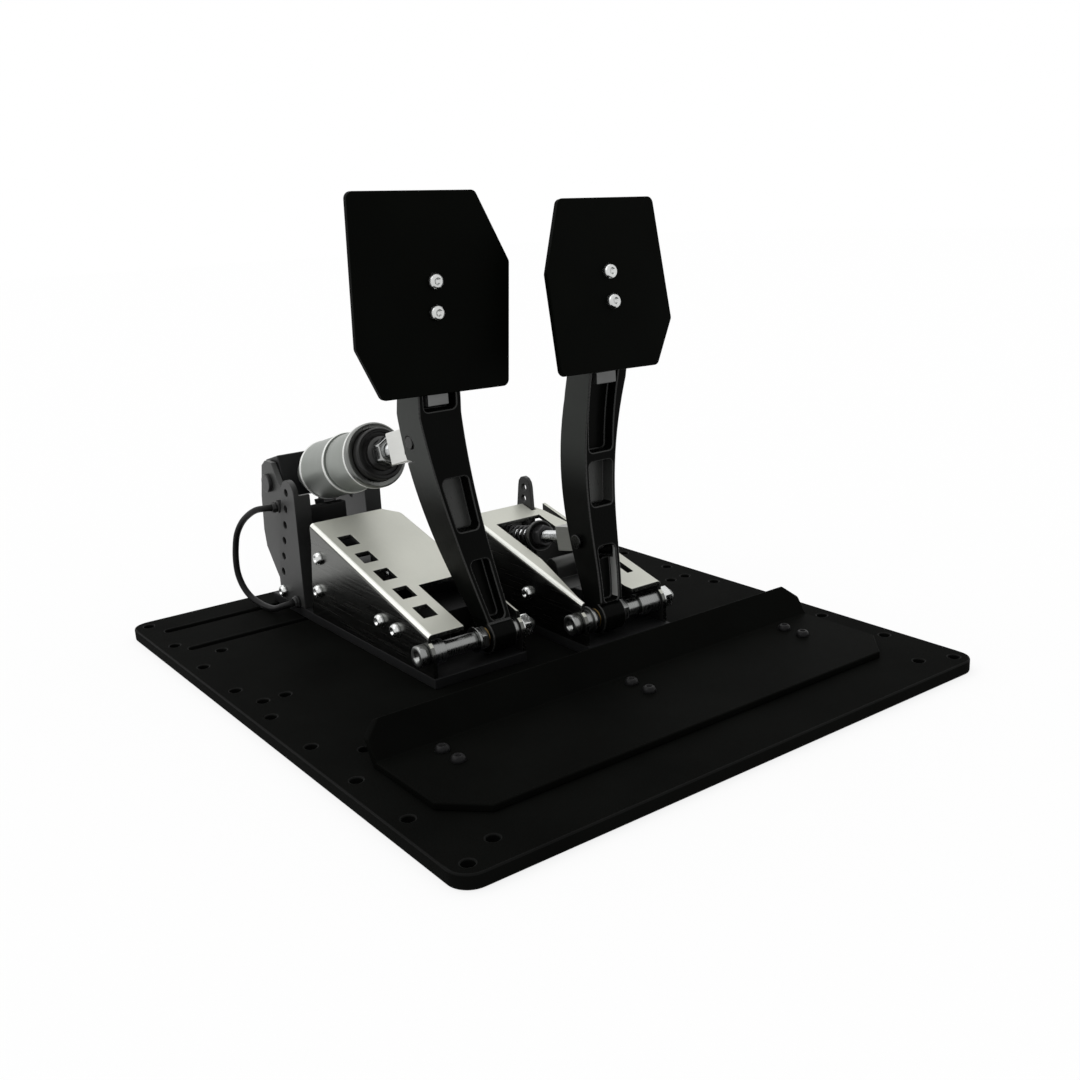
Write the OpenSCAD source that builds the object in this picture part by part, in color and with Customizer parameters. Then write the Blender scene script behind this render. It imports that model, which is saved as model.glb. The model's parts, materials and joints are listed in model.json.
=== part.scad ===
// Sim racing pedal set: a drilled base plate, a heel rest, a hydraulic brake unit and a sprung throttle unit.
// Millimetres. The origin is the centre of the plate's underside, +X is the driver's right,
// +Y points away from the driver and +Z is up.

/* [Base plate] */
// plate size across the driver
plate_width = 366; // [364:1:390]
// plate size along the driver's legs
plate_length = 420; // [420:1:450]
// plate thickness
plate_thickness = 8; // [7:0.5:12]
// spacing of the holes along both sides
edge_hole_pitch = 50; // [44:1:50]
// bore of the plate's holes
hole_bore = 6.6; // [5.5:0.1:8.4]
// width of the slots that the units are bolted through
slot_width = 6.6; // [6.4:0.1:8]

/* [Heel rest] */
// heel rest size across the driver
heel_width = 320; // [300:1:330]
// heel rest sheet thickness
heel_sheet = 4; // [2:0.5:5]
// length of the raised lip
heel_lip = 23; // [12:1:28]
// lean of the lip from upright, in degrees
heel_lip_lean = 31; // [15:1:45]

/* [Units] */
// brake unit centre, across the driver
brake_x = -51; // [-56:0.5:-50]
// throttle unit centre, across the driver
throttle_x = 46.5; // [46:0.5:54]
// brake axle, along the driver's legs
brake_axle_y = -22; // [-24:0.5:-20]
// throttle axle, along the driver's legs
throttle_axle_y = -42; // [-46:0.5:-38]
// outer width of both folded frames
frame_width = 66; // [65:0.5:70]
// frame sheet thickness
frame_sheet = 2.5; // [1.5:0.25:3]
// thickness of the slab under each frame
slab = 6.5; // [5:0.5:7.5]
// axle diameter
axle_diameter = 8; // [6:0.5:9]

/* [Faces] */
// brake face width
brake_face_width = 103; // [90:1:103]
// brake face height
brake_face_height = 112; // [100:1:120]
// throttle face width
throttle_face_width = 90; // [76:1:90]
// throttle face height
throttle_face_height = 100; // [90:1:104]
// face plate thickness
face_sheet = 4; // [3:0.5:5]

/* [Brake cylinder] */
// outer diameter of the barrel's front ring
ring_diameter = 42; // [40:0.5:43]
// diameter of the piston face
piston_diameter = 34; // [30:0.5:35]
// outer diameter of the rear sleeve
sleeve_diameter = 28; // [22:0.5:30]
// size of the square clevis block
brake_clevis_size = 20; // [16:0.5:20]

/* [Throttle spring] */
// wire diameter
spring_wire = 1.8; // [1.2:0.1:2.2]
// outer diameter of the spring
spring_diameter = 13.6; // [12:0.2:14]
// number of turns
spring_turns = 5.5; // [4:0.5:7]

/* [Hidden] */
$fn = 48;
cut = 0.5;
running_gap = 0.05;
body_gap = 0.4;
bolt_gap = 0.15;

// Plate: places of holes and slots
plate_corner = 12;
edge_hole_x = plate_width / 2 - 10;
edge_holes = 9;
inner_hole_x = 153;
inner_hole_pair = 14;
slot_end_x = 165;
slot_bridge = 8;
brake_slot_y = 181;
throttle_slot_y = 137;
front_bolt_y = 40;
nut_recess_width = 11;
nut_recess_depth = 4.5;

// Heel rest
heel_front_y = -172;
heel_bend_y = -97;
heel_corner = 20;
heel_screw_x = 127.5;
heel_screw_rows = [-108, -123];

// Frames, in each unit's own place: axle at y 0, plate top at z 0
half = frame_width / 2;
inner = half - frame_sheet;
axle_z = 19.3;
ear_radius = 9;
top_at_axle = 33.3;
top_slope = 15.24;
bend_radius = 3;
brake_top_end = 140;
throttle_top_end = 117;
side_foot_run = 8;
strip_taper = 52;
strip_narrow = -30;
strip_wide = 36;
strip_left = 6.5;
strip_front = -5;
strip_corner = 7;
strip_slot = [[19, 24], [12, 30]];
brake_slab = [-9.7, 212];
throttle_slab = [-13, 188];
frame_bolt = 6;
frame_bolt_x = 15;
bar_low = 20;
bar_high = 32;
brake_bar = [24, 58];
throttle_bar = [26, 58];
throttle_bar_crown = [-12, 9];
throttle_crown_depth = 12;
throttle_crown_high = 45;
rear_bar = [123, 140];
rear_bar_high = 56;
rear_bar_wall = 12;
rear_bar_sill = 10;
cross_bar = [184, 197];
cross_bar_height = 12;
brake_bar_screws = [[50.7, 27], [31.5, 26]];
brake_rear_screws = [[129, 50], [134, 26]];
throttle_bar_screws = [[50, 27]];
side_screw = 5;
tab_front = 113;
tab_x = 13.5;
tab_sheet = 3;

// Axle stack
head_diameter = 13;
head_length = 6;
nut_across = 13;
axle_end = 12;
brake_hub = [9, 26];
throttle_hub = [-19, -2];
hub_radius = 10.5;
bush_wall = 2;

// Brake rod line: clevis pin, slope and stations along the line
brake_line_x = 1;
brake_pin = [36, 137];
brake_line_slope = 16;
clevis_rear = 33;
brake_nut_start = 47;
piston_boss = 57;
piston_face = 62.5;
piston_length = 21.2;
rubber_gap = 1;
ring_front = 67.7;
ring_rear = 75.2;
barrel_joint = 106;
barrel_rear = 152.4;
pivot_at = 178.9;
sensor_at = 158.8;
sensor_stub = 9;
clevis_pin_diameter = 8;
open_pivot_gap = 0.5;
rod_diameter = 10;
rod_in_clevis = 15;

// Throttle rod line
throttle_line_x = -6.8;
throttle_pin = [16, 65.5];
throttle_line_slope = 10;
throttle_clevis = [12, 16];
throttle_clevis_rear = 29;
throttle_nut_start = 48;
throttle_nut_end = 54;
collar_front = 56;
collar_rear = 61;
guide_at = 97.5;
guide_half = 6.5;
guide_width = 11.5;
throttle_rod_diameter = 8;
throttle_rod_end = 108;
trunnion_diameter = 6;

// Spring between the collar and the guide
spring_gap = 0.3;
spring_rings = 8;
spring_radius = (spring_diameter - spring_wire) / 2;
spring_from = collar_rear + spring_gap;
spring_to = guide_at - guide_half;
spring_start = spring_from + spring_wire;
spring_stop = spring_to - spring_wire;
spring_count = floor(spring_turns * spring_rings);

// Faces: centre places in the unit, turns, and corners as fractions of half the width and half the height
brake_face_at = [-1.9, 12.3, 223];
brake_face_turn = [0, 1.2, 0];
throttle_face_at = [1.9, 1, 221.9];
throttle_face_turn = [-10, 1, 0];
brake_face_shape = [[-1, 1], [0.57, 1], [1, 0.29], [0.94, -1], [-0.72, -1], [-1, -0.48]];
throttle_face_shape = [[-0.67, 1], [0.91, 1], [1, -0.46], [0.66, -1], [-0.98, -1], [-1, 0.17]];
face_screw = 5;
face_screw_drop = 1.5;
face_screw_spacing = 17.3;
face_corner = 4;
brake_block_x = [-9, 5];
throttle_block_x = [-5.5, 9.5];
brake_seat = brake_face_at[1] + face_sheet;
brake_block_depth = 8.7;
brake_block_low = 160;

// Arm outlines: side curves as four control points [y, z] and front edges as [x, z]
arm_steps = 24;
arm_top = 240;
throttle_block_outline = [[7, 163], [13.7, 163], [13.7, 170], [17.6, arm_top - 2], [-20, arm_top - 2],
    [-20, 182], [7, 170]];
brake_front_curve = [[-5, 28], [8, 72], [19, 112], [brake_seat, 162]];
brake_rear_curve = [[10, 24], [32, 58], [58, 107], [38, 177]];
brake_edges = [[9, 30], [-15.4, 154], [26, 30], [13.5, 154]];
throttle_front_curve = [[-7, 30], [-2, 67], [20, 102], [6, 170]];
throttle_rear_curve = [[9, 25], [20, 56], [52, 100], [27, 175]];
throttle_edges = [[-19, 30], [-11.3, 152], [-2, 30], [17.5, 165]];
arm_wall = 3.5;
pocket_corner = 3;

// Rear bracket of the brake
upright_sheet = 4;
upright_front = 160;
upright_flange = 12;
upright_holes = 6;
upright_hole = 5.2;
upright_rear = 198;
upright_top = 86;
cheek_outline = [[165, slab], [198, slab], [212, 23], [224, 38], [226, 50], [224, 76], [218, 99],
    [212, 103], [201, 103], [192, 90], [165, 77]];
pivot_pin_diameter = 8;
pivot_pin_head = [13, 3];
pivot_block_half = 14;
cross_bar_screw = [191, slab + 6];

// Sensor lead, in the brake unit's place: out of the cheek, round a loop, back into the upright's foot
lead_diameter = 4.5;
lead_sides = 8;
lead_out = [190, 74];
lead_in = [170, 9.5];
lead_from_side = [
    [-3, lead_out[0], lead_out[1]], [-8, 192, 74], [-11, 200, 72], [-13, 210, 67], [-15, 219, 60],
    [-17, 225, 51], [-18, 228, 41], [-19, 228, 31], [-19, 227, 21], [-18, 222, 12], [-16, 214, 5.5],
    [-14, 204, 2.8], [-13, 194, 2.5], [-12, 184, 3.6], [-10, 175, 7], [-7, 170.5, 9],
    [-3, lead_in[0], lead_in[1]]];
gland_diameter = 9;
gland_length = 4;
sensor_box_right = 8;
sensor_box_setback = 5;
sensor_box_thick = 7.5;
sensor_box_height = [52, 75.5];

// Places

module at_brake() translate([brake_x, brake_axle_y, plate_thickness]) children();

module at_throttle() translate([throttle_x, throttle_axle_y, plate_thickness]) children();

module on_brake_line()
    at_brake() translate([brake_line_x, brake_pin[0], brake_pin[1]])
        rotate([-brake_line_slope, 0, 0]) children();

module on_throttle_line()
    at_throttle() translate([throttle_line_x, throttle_pin[0], throttle_pin[1]])
        rotate([-throttle_line_slope, 0, 0]) children();

// Shapes

module box(x, y, z) translate([x[0], y[0], z[0]]) cube([x[1] - x[0], y[1] - y[0], z[1] - z[0]]);

module bar_x(radius, x) translate([x[0], 0, 0]) rotate([0, 90, 0]) cylinder(r = radius, h = x[1] - x[0]);

module bar_y(radius, y) translate([0, y[0], 0]) rotate([-90, 0, 0]) cylinder(r = radius, h = y[1] - y[0]);

// A side view [y, z] carried across from one x to another
module side_view(x) translate([x[0], 0, 0]) rotate([90, 0, 90]) linear_extrude(x[1] - x[0]) children();

// A front view [x, z] carried along from one y to another
module front_view(y) translate([0, y[1], 0]) rotate([90, 0, 0]) linear_extrude(y[1] - y[0]) children();

module hex_x(across, x)
    translate([x[0], 0, 0]) rotate([0, 90, 0])
        cylinder(d = across / cos(30), h = x[1] - x[0], $fn = 6);

module hex_y(across, y)
    translate([0, y[0], 0]) rotate([-90, 0, 0])
        cylinder(d = across / cos(30), h = y[1] - y[0], $fn = 6);

// A plate outline with rounded corners
module round_rect(width, length, radius) {
    square([width - 2 * radius, length], center = true);
    square([width, length - 2 * radius], center = true);
    for (x = [-1, 1], y = [-1, 1])
        translate([x * (width / 2 - radius), y * (length / 2 - radius)]) circle(radius);
}

// A slot outline along X
module slot(x, y, width) {
    translate([x[0], y - width / 2]) square([x[1] - x[0], width]);
    for (end = x) translate([end, y]) circle(d = width);
}

// A point on a curve with four control points
function on_curve(p, t) =
    p[0] * pow(1 - t, 3) + 3 * p[1] * t * pow(1 - t, 2) + 3 * p[2] * t * t * (1 - t) + p[3] * pow(t, 3);

function curve_points(p) = [for (i = [0 : arm_steps]) on_curve(p, i / arm_steps)];

// Points on an arc, from one angle to another
function arc(centre, radius, from, to, steps = 6) =
    [for (i = [0 : steps]) let (a = from + (to - from) * i / steps) centre + radius * [cos(a), sin(a)]];

function reversed(list) = [for (i = [len(list) - 1 : -1 : 0]) list[i]];

// The normal to the right of a line from one point to another
function right_of(a, b) = unit([b[1] - a[1], a[0] - b[0]]);

// The arc that rounds a corner of a path that runs clockwise
function round_corner(before, corner, after, radius) =
    let (m = right_of(before, corner), n = right_of(corner, after),
        a = atan2(-m[1], -m[0]), b = atan2(-n[1], -n[0]))
    arc(corner + radius * (m + n) / (1 + m * n), radius, a, b > a ? b - 360 : b, 5);

// An outline whose corners, given clockwise, are rounded
module rounded_outline(corners, radius) {
    count = len(corners);
    polygon([for (i = [0 : count - 1]) let (before = (i + count - 1) % count, after = (i + 1) % count)
        each round_corner(corners[before], corners[i], corners[after], radius)]);
}

// Tubes: rings of points across a path, joined by triangles

function unit(v) = v / norm(v);

function heading(path, i) = unit(path[min(i + 1, len(path) - 1)] - path[max(i - 1, 0)]);

function ring(centre, ahead, aside, radius, sides) =
    let (u = unit(aside - ahead * (aside * ahead)), v = cross(ahead, u))
    [for (k = [0 : sides - 1])
        centre + radius * (cos(360 * k / sides) * u + sin(360 * k / sides) * v)];

module tube(path, headings, asides, radius, sides) {
    rings = len(path);
    points = [for (i = [0 : rings - 1]) each ring(path[i], headings[i], asides[i], radius, sides)];
    walls = [for (i = [0 : rings - 2], k = [0 : sides - 1])
        let (a = i * sides + k, b = i * sides + (k + 1) % sides)
        each [[a, a + sides, b], [b, a + sides, b + sides]]];
    last = (rings - 1) * sides;
    caps = [for (k = [1 : sides - 2]) each [[0, k, k + 1], [last, last + k + 1, last + k]]];
    polyhedron(points = points, faces = concat(walls, caps));
}

// Fasteners

// A button head on a bored seat at the origin, its shank running along +Z
module button_screw(head, shank, length) {
    difference() {
        translate([0, 0, -0.4 * head]) cylinder(d = head, h = 0.4 * head);
        translate([0, 0, -0.4 * head - cut]) cylinder(d = 0.45 * head, h = 0.2 * head + cut, $fn = 6);
    }
    cylinder(d = shank, h = length);
}

module nut_ring(across, bore, x) {
    difference() {
        hex_x(across, x);
        bar_x(bore / 2, [x[0] - cut, x[1] + cut]);
    }
}

module washer(outer, bore, x) {
    difference() {
        bar_x(outer / 2, x);
        bar_x(bore / 2, [x[0] - cut, x[1] + cut]);
    }
}

// Base plate and heel rest

module plate_slots(width) {
    for (y = [brake_slot_y, throttle_slot_y], side = [-1, 1])
        slot(side > 0 ? [slot_bridge, slot_end_x] : [-slot_end_x, -slot_bridge], y, width);
    for (unit_at = [[brake_x, brake_axle_y], [throttle_x, throttle_axle_y]])
        slot([unit_at[0] - 22, unit_at[0] + 22], unit_at[1] + front_bolt_y, width);
}

module base_plate() {
    color("#1b1c1d") difference() {
        linear_extrude(plate_thickness) round_rect(plate_width, plate_length, plate_corner);
        for (side = [-1, 1], i = [0 : edge_holes - 1])
            translate([side * edge_hole_x, (i - (edge_holes - 1) / 2) * edge_hole_pitch, -cut])
                cylinder(d = hole_bore, h = plate_thickness + 2 * cut);
        for (side = [-1, 1], y = [120, 24, -190])
            translate([side * inner_hole_x, y, -cut]) cylinder(d = hole_bore, h = plate_thickness + 2 * cut);
        for (side = [-1, 1], y = [24, -72])
            translate([side * (inner_hole_x + (y > 0 ? inner_hole_pair : 0)), y, -cut])
                cylinder(d = hole_bore, h = plate_thickness + 2 * cut);
        for (x = [-1, 0, 1] * heel_screw_x, y = heel_screw_rows)
            translate([x, y, -cut]) cylinder(d = 4.6, h = plate_thickness + 2 * cut);
        translate([0, 0, -cut]) linear_extrude(plate_thickness + 2 * cut) plate_slots(slot_width);
        translate([0, 0, -cut]) linear_extrude(nut_recess_depth + cut) plate_slots(nut_recess_width);
    }
}

module heel_rest() {
    low = plate_thickness;
    lip_y = heel_lip * sin(heel_lip_lean);
    lip_z = heel_lip * cos(heel_lip_lean);
    side_y = heel_sheet * cos(heel_lip_lean);
    side_z = heel_sheet * sin(heel_lip_lean);
    across = heel_width / 2;
    color("#1d1e1f") difference() {
        intersection() {
            side_view([-across, across]) {
                translate([heel_front_y, low]) square([heel_bend_y - heel_front_y, heel_sheet]);
                polygon([[heel_bend_y - cut, low], [heel_bend_y, low], [heel_bend_y + side_y, low],
                    [heel_bend_y + side_y + lip_y, low + lip_z],
                    [heel_bend_y + lip_y, low + side_z + lip_z],
                    [heel_bend_y - cut, low + heel_sheet]]);
            }
            linear_extrude(200)
                polygon([[-across, heel_front_y + heel_corner], [-across + heel_corner, heel_front_y],
                    [across - heel_corner, heel_front_y], [across, heel_front_y + heel_corner],
                    [across, 0], [-across, 0]]);
            front_view([heel_front_y - cut, 0])
                polygon([[-across, low - cut], [across, low - cut], [across, low + lip_z - 6],
                    [across - 12, low + lip_z + 4], [-across + 12, low + lip_z + 4],
                    [-across, low + lip_z - 6]]);
        }
        for (x = [-1, 0, 1] * heel_screw_x, y = heel_screw_rows)
            translate([x, y, low - cut]) cylinder(d = 4.6, h = heel_sheet + 2 * cut);
    }
}

module heel_screws() {
    color("#2c2d2e")
        for (x = [-1, 0, 1] * heel_screw_x, y = heel_screw_rows)
            translate([x, y, plate_thickness + heel_sheet]) rotate([180, 0, 0])
                button_screw(8, 4.4, heel_sheet + plate_thickness - 2);
}

// Slabs, bolts and nuts that hold the units on the plate

module unit_slab(y, bolt_y) {
    difference() {
        box([-half, half], y, [0, slab]);
        for (x = [-1, 1], bolt = [front_bolt_y, bolt_y])
            translate([x * frame_bolt_x, bolt, -cut])
                cylinder(d = frame_bolt + 2 * bolt_gap, h = slab + 2 * cut);
    }
}

module brake_base() {
    color("#232425") at_brake() unit_slab(brake_slab, brake_slot_y - brake_axle_y);
}

module throttle_base() {
    color("#232425") at_throttle() unit_slab(throttle_slab, throttle_slot_y - throttle_axle_y);
}

module each_frame_bolt() {
    for (x = [-1, 1]) {
        for (y = [front_bolt_y, brake_slot_y - brake_axle_y])
            at_brake() translate([x * frame_bolt_x, y, 0]) children();
        for (y = [front_bolt_y, throttle_slot_y - throttle_axle_y])
            at_throttle() translate([x * frame_bolt_x, y, 0]) children();
    }
}

module frame_bolts() {
    color("#3a3b3d") each_frame_bolt() translate([0, 0, slab]) {
        difference() {
            cylinder(d = 10, h = 6);
            translate([0, 0, 3]) cylinder(d = 5.8, h = 4, $fn = 6);
        }
        translate([0, 0, 1 - slab - plate_thickness]) cylinder(d = frame_bolt, h = slab + plate_thickness - 1);
    }
}

module slot_nuts() {
    color("#6a6c6e") each_frame_bolt() translate([0, 0, -plate_thickness + 1.2])
        difference() {
            translate([-5, -5, 0]) cube([10, 10, nut_recess_depth - 1.2]);
            translate([0, 0, -cut]) cylinder(d = frame_bolt + 2 * running_gap, h = nut_recess_depth + 1);
        }
}

// Folded frames: a channel profile carried down the slope, trimmed by its side view

module channel_profile() {
    leg = 90;
    corner = half - bend_radius;
    polygon(concat([[-inner, -leg], [-half, -leg]], arc([-corner, -bend_radius], bend_radius, 180, 90),
        arc([corner, -bend_radius], bend_radius, 90, 0),
        [[half, -leg], [inner, -leg], [inner, -frame_sheet], [-inner, -frame_sheet]]));
}

module folded_frame(top_end, lift) {
    difference() {
        intersection() {
            translate([0, 0, top_at_axle + lift]) rotate([90 + top_slope, 0, 0])
                translate([0, 0, -180]) linear_extrude(260) channel_profile();
            side_view([-half - cut, half + cut])
                polygon(concat([[top_end + side_foot_run, slab], [-ear_radius, slab]],
                    arc([0, axle_z], ear_radius, 180, 120),
                    [[-ear_radius / 2, 70], [top_end, 110], [top_end, 58]]));
        }
        translate([0, 0, axle_z]) bar_x(axle_diameter / 2 + running_gap, [-half - cut, half + cut]);
    }
}

module screw_holes(places)
    for (place = places)
        translate([0, place[0], place[1]]) bar_x(side_screw / 2 + bolt_gap, [-half - 10, half + 10]);

module brake_frame() {
    notch = [-8, half - bend_radius];
    color("#c9cacb") at_brake() difference() {
        folded_frame(brake_top_end, 0);
        box(notch, [-20, 45], [axle_z + ear_radius, 100]);
        for (i = [0 : 4]) box([-25, -15], [12 + 23 * i, 25 + 23 * i], [axle_z + ear_radius, 100]);
        translate([half, brake_top_end, 40]) rotate([0, 0, 45]) box([-8, 8], [-8, 8], [0, 60]);
        screw_holes(concat(brake_bar_screws, brake_rear_screws));
    }
}

module throttle_frame() {
    opening = [-22, 14];
    above_ears = [axle_z + ear_radius, 100];
    color("#c9cacb") at_throttle() difference() {
        folded_frame(throttle_top_end, 1);
        box(opening, [strip_wide, 99], above_ears);
        box([opening[0], strip_left], [-20, strip_wide + cut], above_ears);
        translate([0, 0, above_ears[0]]) linear_extrude(80) {
            polygon([[opening[0] + cut, strip_taper], [opening[0] + cut, -20], [strip_narrow, -20],
                [strip_narrow, 0]]);
            polygon([[strip_left - cut, strip_front + strip_corner], [strip_left - cut, -20],
                [half - bend_radius, -20], [half - bend_radius, strip_front], [strip_left + 2, strip_front]]);
        }
        box(strip_slot[0], strip_slot[1], above_ears);
        box([tab_x - 0.5, tab_x + tab_sheet + 0.5], [tab_front - 7, throttle_top_end + cut], [40, 100]);
        translate([0, 0, top_at_axle + 1]) rotate([top_slope, 0, 0]) translate([0, 0, -bend_radius])
            linear_extrude(20) polygon([[tab_x, 122], [21, 107], [26, 84], [half + 1, 60], [half + 1, 122]]);
        screw_holes(throttle_bar_screws);
    }
}

// Bars inside the frames

module brake_front_bar() {
    color("#aeb0b2") at_brake() difference() {
        box([-inner, inner], brake_bar, [bar_low, bar_high]);
        screw_holes(brake_bar_screws);
    }
}

module brake_rear_bar() {
    color("#2a2b2c") at_brake() difference() {
        box([-inner, inner], rear_bar, [slab, rear_bar_high]);
        screw_holes(brake_rear_screws);
        box([-inner + rear_bar_wall, inner - rear_bar_wall], rear_bar + [-cut, cut],
            [slab + rear_bar_sill, rear_bar_high - rear_bar_sill]);
    }
}

module brake_cross_bar() {
    reach = half - 2 * upright_sheet;
    color("#aeb0b2") at_brake() difference() {
        box([-reach, reach], cross_bar, [slab, slab + cross_bar_height]);
        screw_holes([cross_bar_screw]);
    }
}

module throttle_front_bar() {
    color("#aeb0b2") at_throttle() difference() {
        union() {
            box([-inner, inner], throttle_bar, [bar_low, bar_high]);
            box(throttle_bar_crown, [throttle_bar[1] - throttle_crown_depth, throttle_bar[1]],
                [bar_high - cut, throttle_crown_high - throttle_crown_depth / 2]);
            translate([0, throttle_bar[1] - throttle_crown_depth / 2,
                throttle_crown_high - throttle_crown_depth / 2])
                bar_x(throttle_crown_depth / 2, throttle_bar_crown);
        }
        screw_holes(throttle_bar_screws);
    }
}

module side_screw_pair(place)
    for (side = [-1, 1])
        translate([side * half, place[0], place[1]]) rotate([0, -side * 90, 0]) button_screw(9, 5, 14);

module side_screws() {
    color("#b9bbbd") {
        at_brake() for (place = concat(brake_bar_screws, brake_rear_screws, [cross_bar_screw]))
            side_screw_pair(place);
        at_throttle() for (place = throttle_bar_screws) side_screw_pair(place);
    }
}

// Axles and what sits on them

module one_axle() translate([0, 0, axle_z]) {
    difference() {
        bar_x(head_diameter / 2, [-half - head_length, -half]);
        hex_x(6, [-half - head_length - cut, -half - head_length + 3]);
    }
    bar_x(axle_diameter / 2, [-half, half + axle_end]);
}

module axles() {
    color("#c2c4c6") {
        at_brake() one_axle();
        at_throttle() one_axle();
    }
}

module one_axle_nut() translate([0, 0, axle_z]) {
    bore = axle_diameter + 2 * running_gap;
    difference() {
        union() {
            bar_x(8, [half, half + 1.6]);
            hex_x(nut_across, [half + 1.6, half + 8]);
        }
        bar_x(bore / 2, [half - cut, half + 9]);
    }
}

module axle_nuts() {
    color("#b9bbbd") {
        at_brake() one_axle_nut();
        at_throttle() one_axle_nut();
    }
}

module brake_spacers() {
    bore = axle_diameter + 2 * running_gap;
    color("#b4b6b8") at_brake() translate([0, 0, axle_z]) {
        washer(15, bore, [-inner, -22]);
        washer(10.5, bore, [-22 + running_gap, 1.4]);
        washer(16, bore, [1.4 + running_gap, 3]);
        nut_ring(nut_across, bore, [3 + running_gap, brake_hub[0] - body_gap]);
        washer(15, bore, [brake_hub[1] + body_gap, inner]);
    }
}

module throttle_spacers() {
    bore = axle_diameter + 2 * running_gap;
    color("#b4b6b8") at_throttle() translate([0, 0, axle_z]) {
        washer(14, bore, [-inner, -25]);
        washer(17, bore, [-25 + running_gap, -23]);
        washer(12, bore, [-23 + running_gap, throttle_hub[0] - body_gap]);
        nut_ring(nut_across, bore, [throttle_hub[1] + body_gap, 4.5]);
        washer(11, bore, [4.5 + running_gap, 14.5]);
        washer(14.5, bore, [14.5 + running_gap, inner]);
    }
}

// Rear bracket of the brake: two folded uprights, two cheeks and the pivot pin

module upright() {
    left = -half;
    top = [upright_front + 10, upright_top];
    difference() {
        union() {
            side_view([left, left + upright_sheet]) {
                polygon([[upright_front, slab], [upright_front, top[1]], [top[0] + 9.5, top[1] + 3],
                    [upright_rear, 25], [upright_rear, slab]]);
                translate(top) circle(10);
            }
            box([left, left + upright_flange], [upright_front, upright_front + 3], [slab, top[1]]);
        }
        for (i = [0 : upright_holes - 1])
            translate([0, upright_front + 12 + 3.6 * i, upright_top + 1 - 12 * i])
                bar_x(upright_hole / 2, [left - cut, left + upright_sheet + cut]);
        screw_holes([cross_bar_screw]);
        translate([0, lead_in[0], lead_in[1]])
            bar_x(lead_diameter / 2 + 1, [left - cut, left + upright_sheet + cut]);
    }
}

module cheek() {
    outer = -half + upright_sheet;
    difference() {
        side_view([outer, outer + upright_sheet]) polygon(cheek_outline);
        translate([0, pivot_y(), pivot_z()])
            bar_x(pivot_pin_diameter / 2 + running_gap, [outer - cut, outer + upright_sheet + cut]);
        screw_holes([cross_bar_screw]);
        for (place = [lead_out, lead_in])
            translate([0, place[0], place[1]])
                bar_x(lead_diameter / 2 + 1, [outer - cut, outer + upright_sheet + cut]);
    }
}

function pivot_y() = brake_pin[0] + pivot_at * cos(brake_line_slope);

function pivot_z() = brake_pin[1] - pivot_at * sin(brake_line_slope);

module brake_upright_left() color("#2b2c2e") at_brake() upright();

module brake_upright_right() color("#2b2c2e") at_brake() mirror([1, 0, 0]) upright();

module brake_cheek_left() color("#303133") at_brake() cheek();

module brake_cheek_right() color("#303133") at_brake() mirror([1, 0, 0]) cheek();

module brake_pivot_pin() {
    reach = half - upright_sheet;
    color("#8d8f91") at_brake() translate([0, pivot_y(), pivot_z()]) {
        bar_x(pivot_pin_diameter / 2, [-reach, reach]);
        for (end = [[-reach - pivot_pin_head[1], -reach], [reach, reach + pivot_pin_head[1]]])
            bar_x(pivot_pin_head[0] / 2, end);
    }
}

// Sensor lead, its glands and the box it serves

module one_gland(place, from, to)
    translate([0, place[0], place[1]]) washer(gland_diameter, lead_diameter + 0.3, [from, to]);

module lead_glands() {
    color("#202122") at_brake() {
        one_gland(lead_out, -half - gland_length, -half + upright_sheet);
        one_gland(lead_in, -half - gland_length, -half);
    }
}

module sensor_lead() {
    from_side = concat([[2, lead_out[0], lead_out[1]]], lead_from_side, [[1, lead_in[0], lead_in[1]]]);
    path = [for (p = from_side) p - [half, 0, 0]];
    ends = len(path) - 1;
    headings = [for (i = [0 : ends]) i == 0 ? [-1, 0, 0] : i == ends ? [1, 0, 0] : heading(path, i)];
    asides = [for (i = [0 : ends]) cross(headings[i], [0.3, -1, 0.1])];
    color("#151516") at_brake() tube(path, headings, asides, lead_diameter / 2, lead_sides);
}

module sensor_box() {
    left = -half + 2 * upright_sheet;
    front = upright_front + sensor_box_setback;
    color("#262728") at_brake()
        box([left, sensor_box_right], [front, front + sensor_box_thick], sensor_box_height);
}

// Arms: a side view and a front view that cut each other, with pockets from the front

module arm_body(front, rear, edges, hub, top_front, top_rear) {
    intersection() {
        side_view([-40, 40])
            polygon(concat(curve_points(front), [[top_front, arm_top], [top_rear, arm_top]],
                reversed(curve_points(rear))));
        front_view([-60, 90])
            polygon([[hub[0], 0], [hub[1], 0], edges[2], edges[3], [edges[3][0], arm_top + 1],
                [edges[1][0], arm_top + 1], edges[1], edges[0]]);
    }
    translate([0, 0, axle_z]) bar_x(hub_radius, hub);
}

function edge_x(a, b, z) = a[0] + (b[0] - a[0]) * (min(z, b[1]) - a[1]) / (b[1] - a[1]);

// A pocket follows the arm's front curve to a depth, between two heights and two side walls
module arm_pocket(front, top_front, edges, z, depth, wall) {
    line = concat(curve_points(front), [[top_front, arm_top + 1]]);
    low = [for (p = line) p + [depth, 0]];
    high = [for (p = line) p - [30, 0]];
    left = [for (h = z) [edge_x(edges[0], edges[1], h) + wall, h]];
    right = [for (h = z) [edge_x(edges[2], edges[3], h) - wall, h]];
    intersection() {
        side_view([-40, 40]) polygon(concat(low, reversed(high)));
        front_view([-60, 90]) rounded_outline([left[0], left[1], right[1], right[0]], pocket_corner);
    }
}

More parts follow.
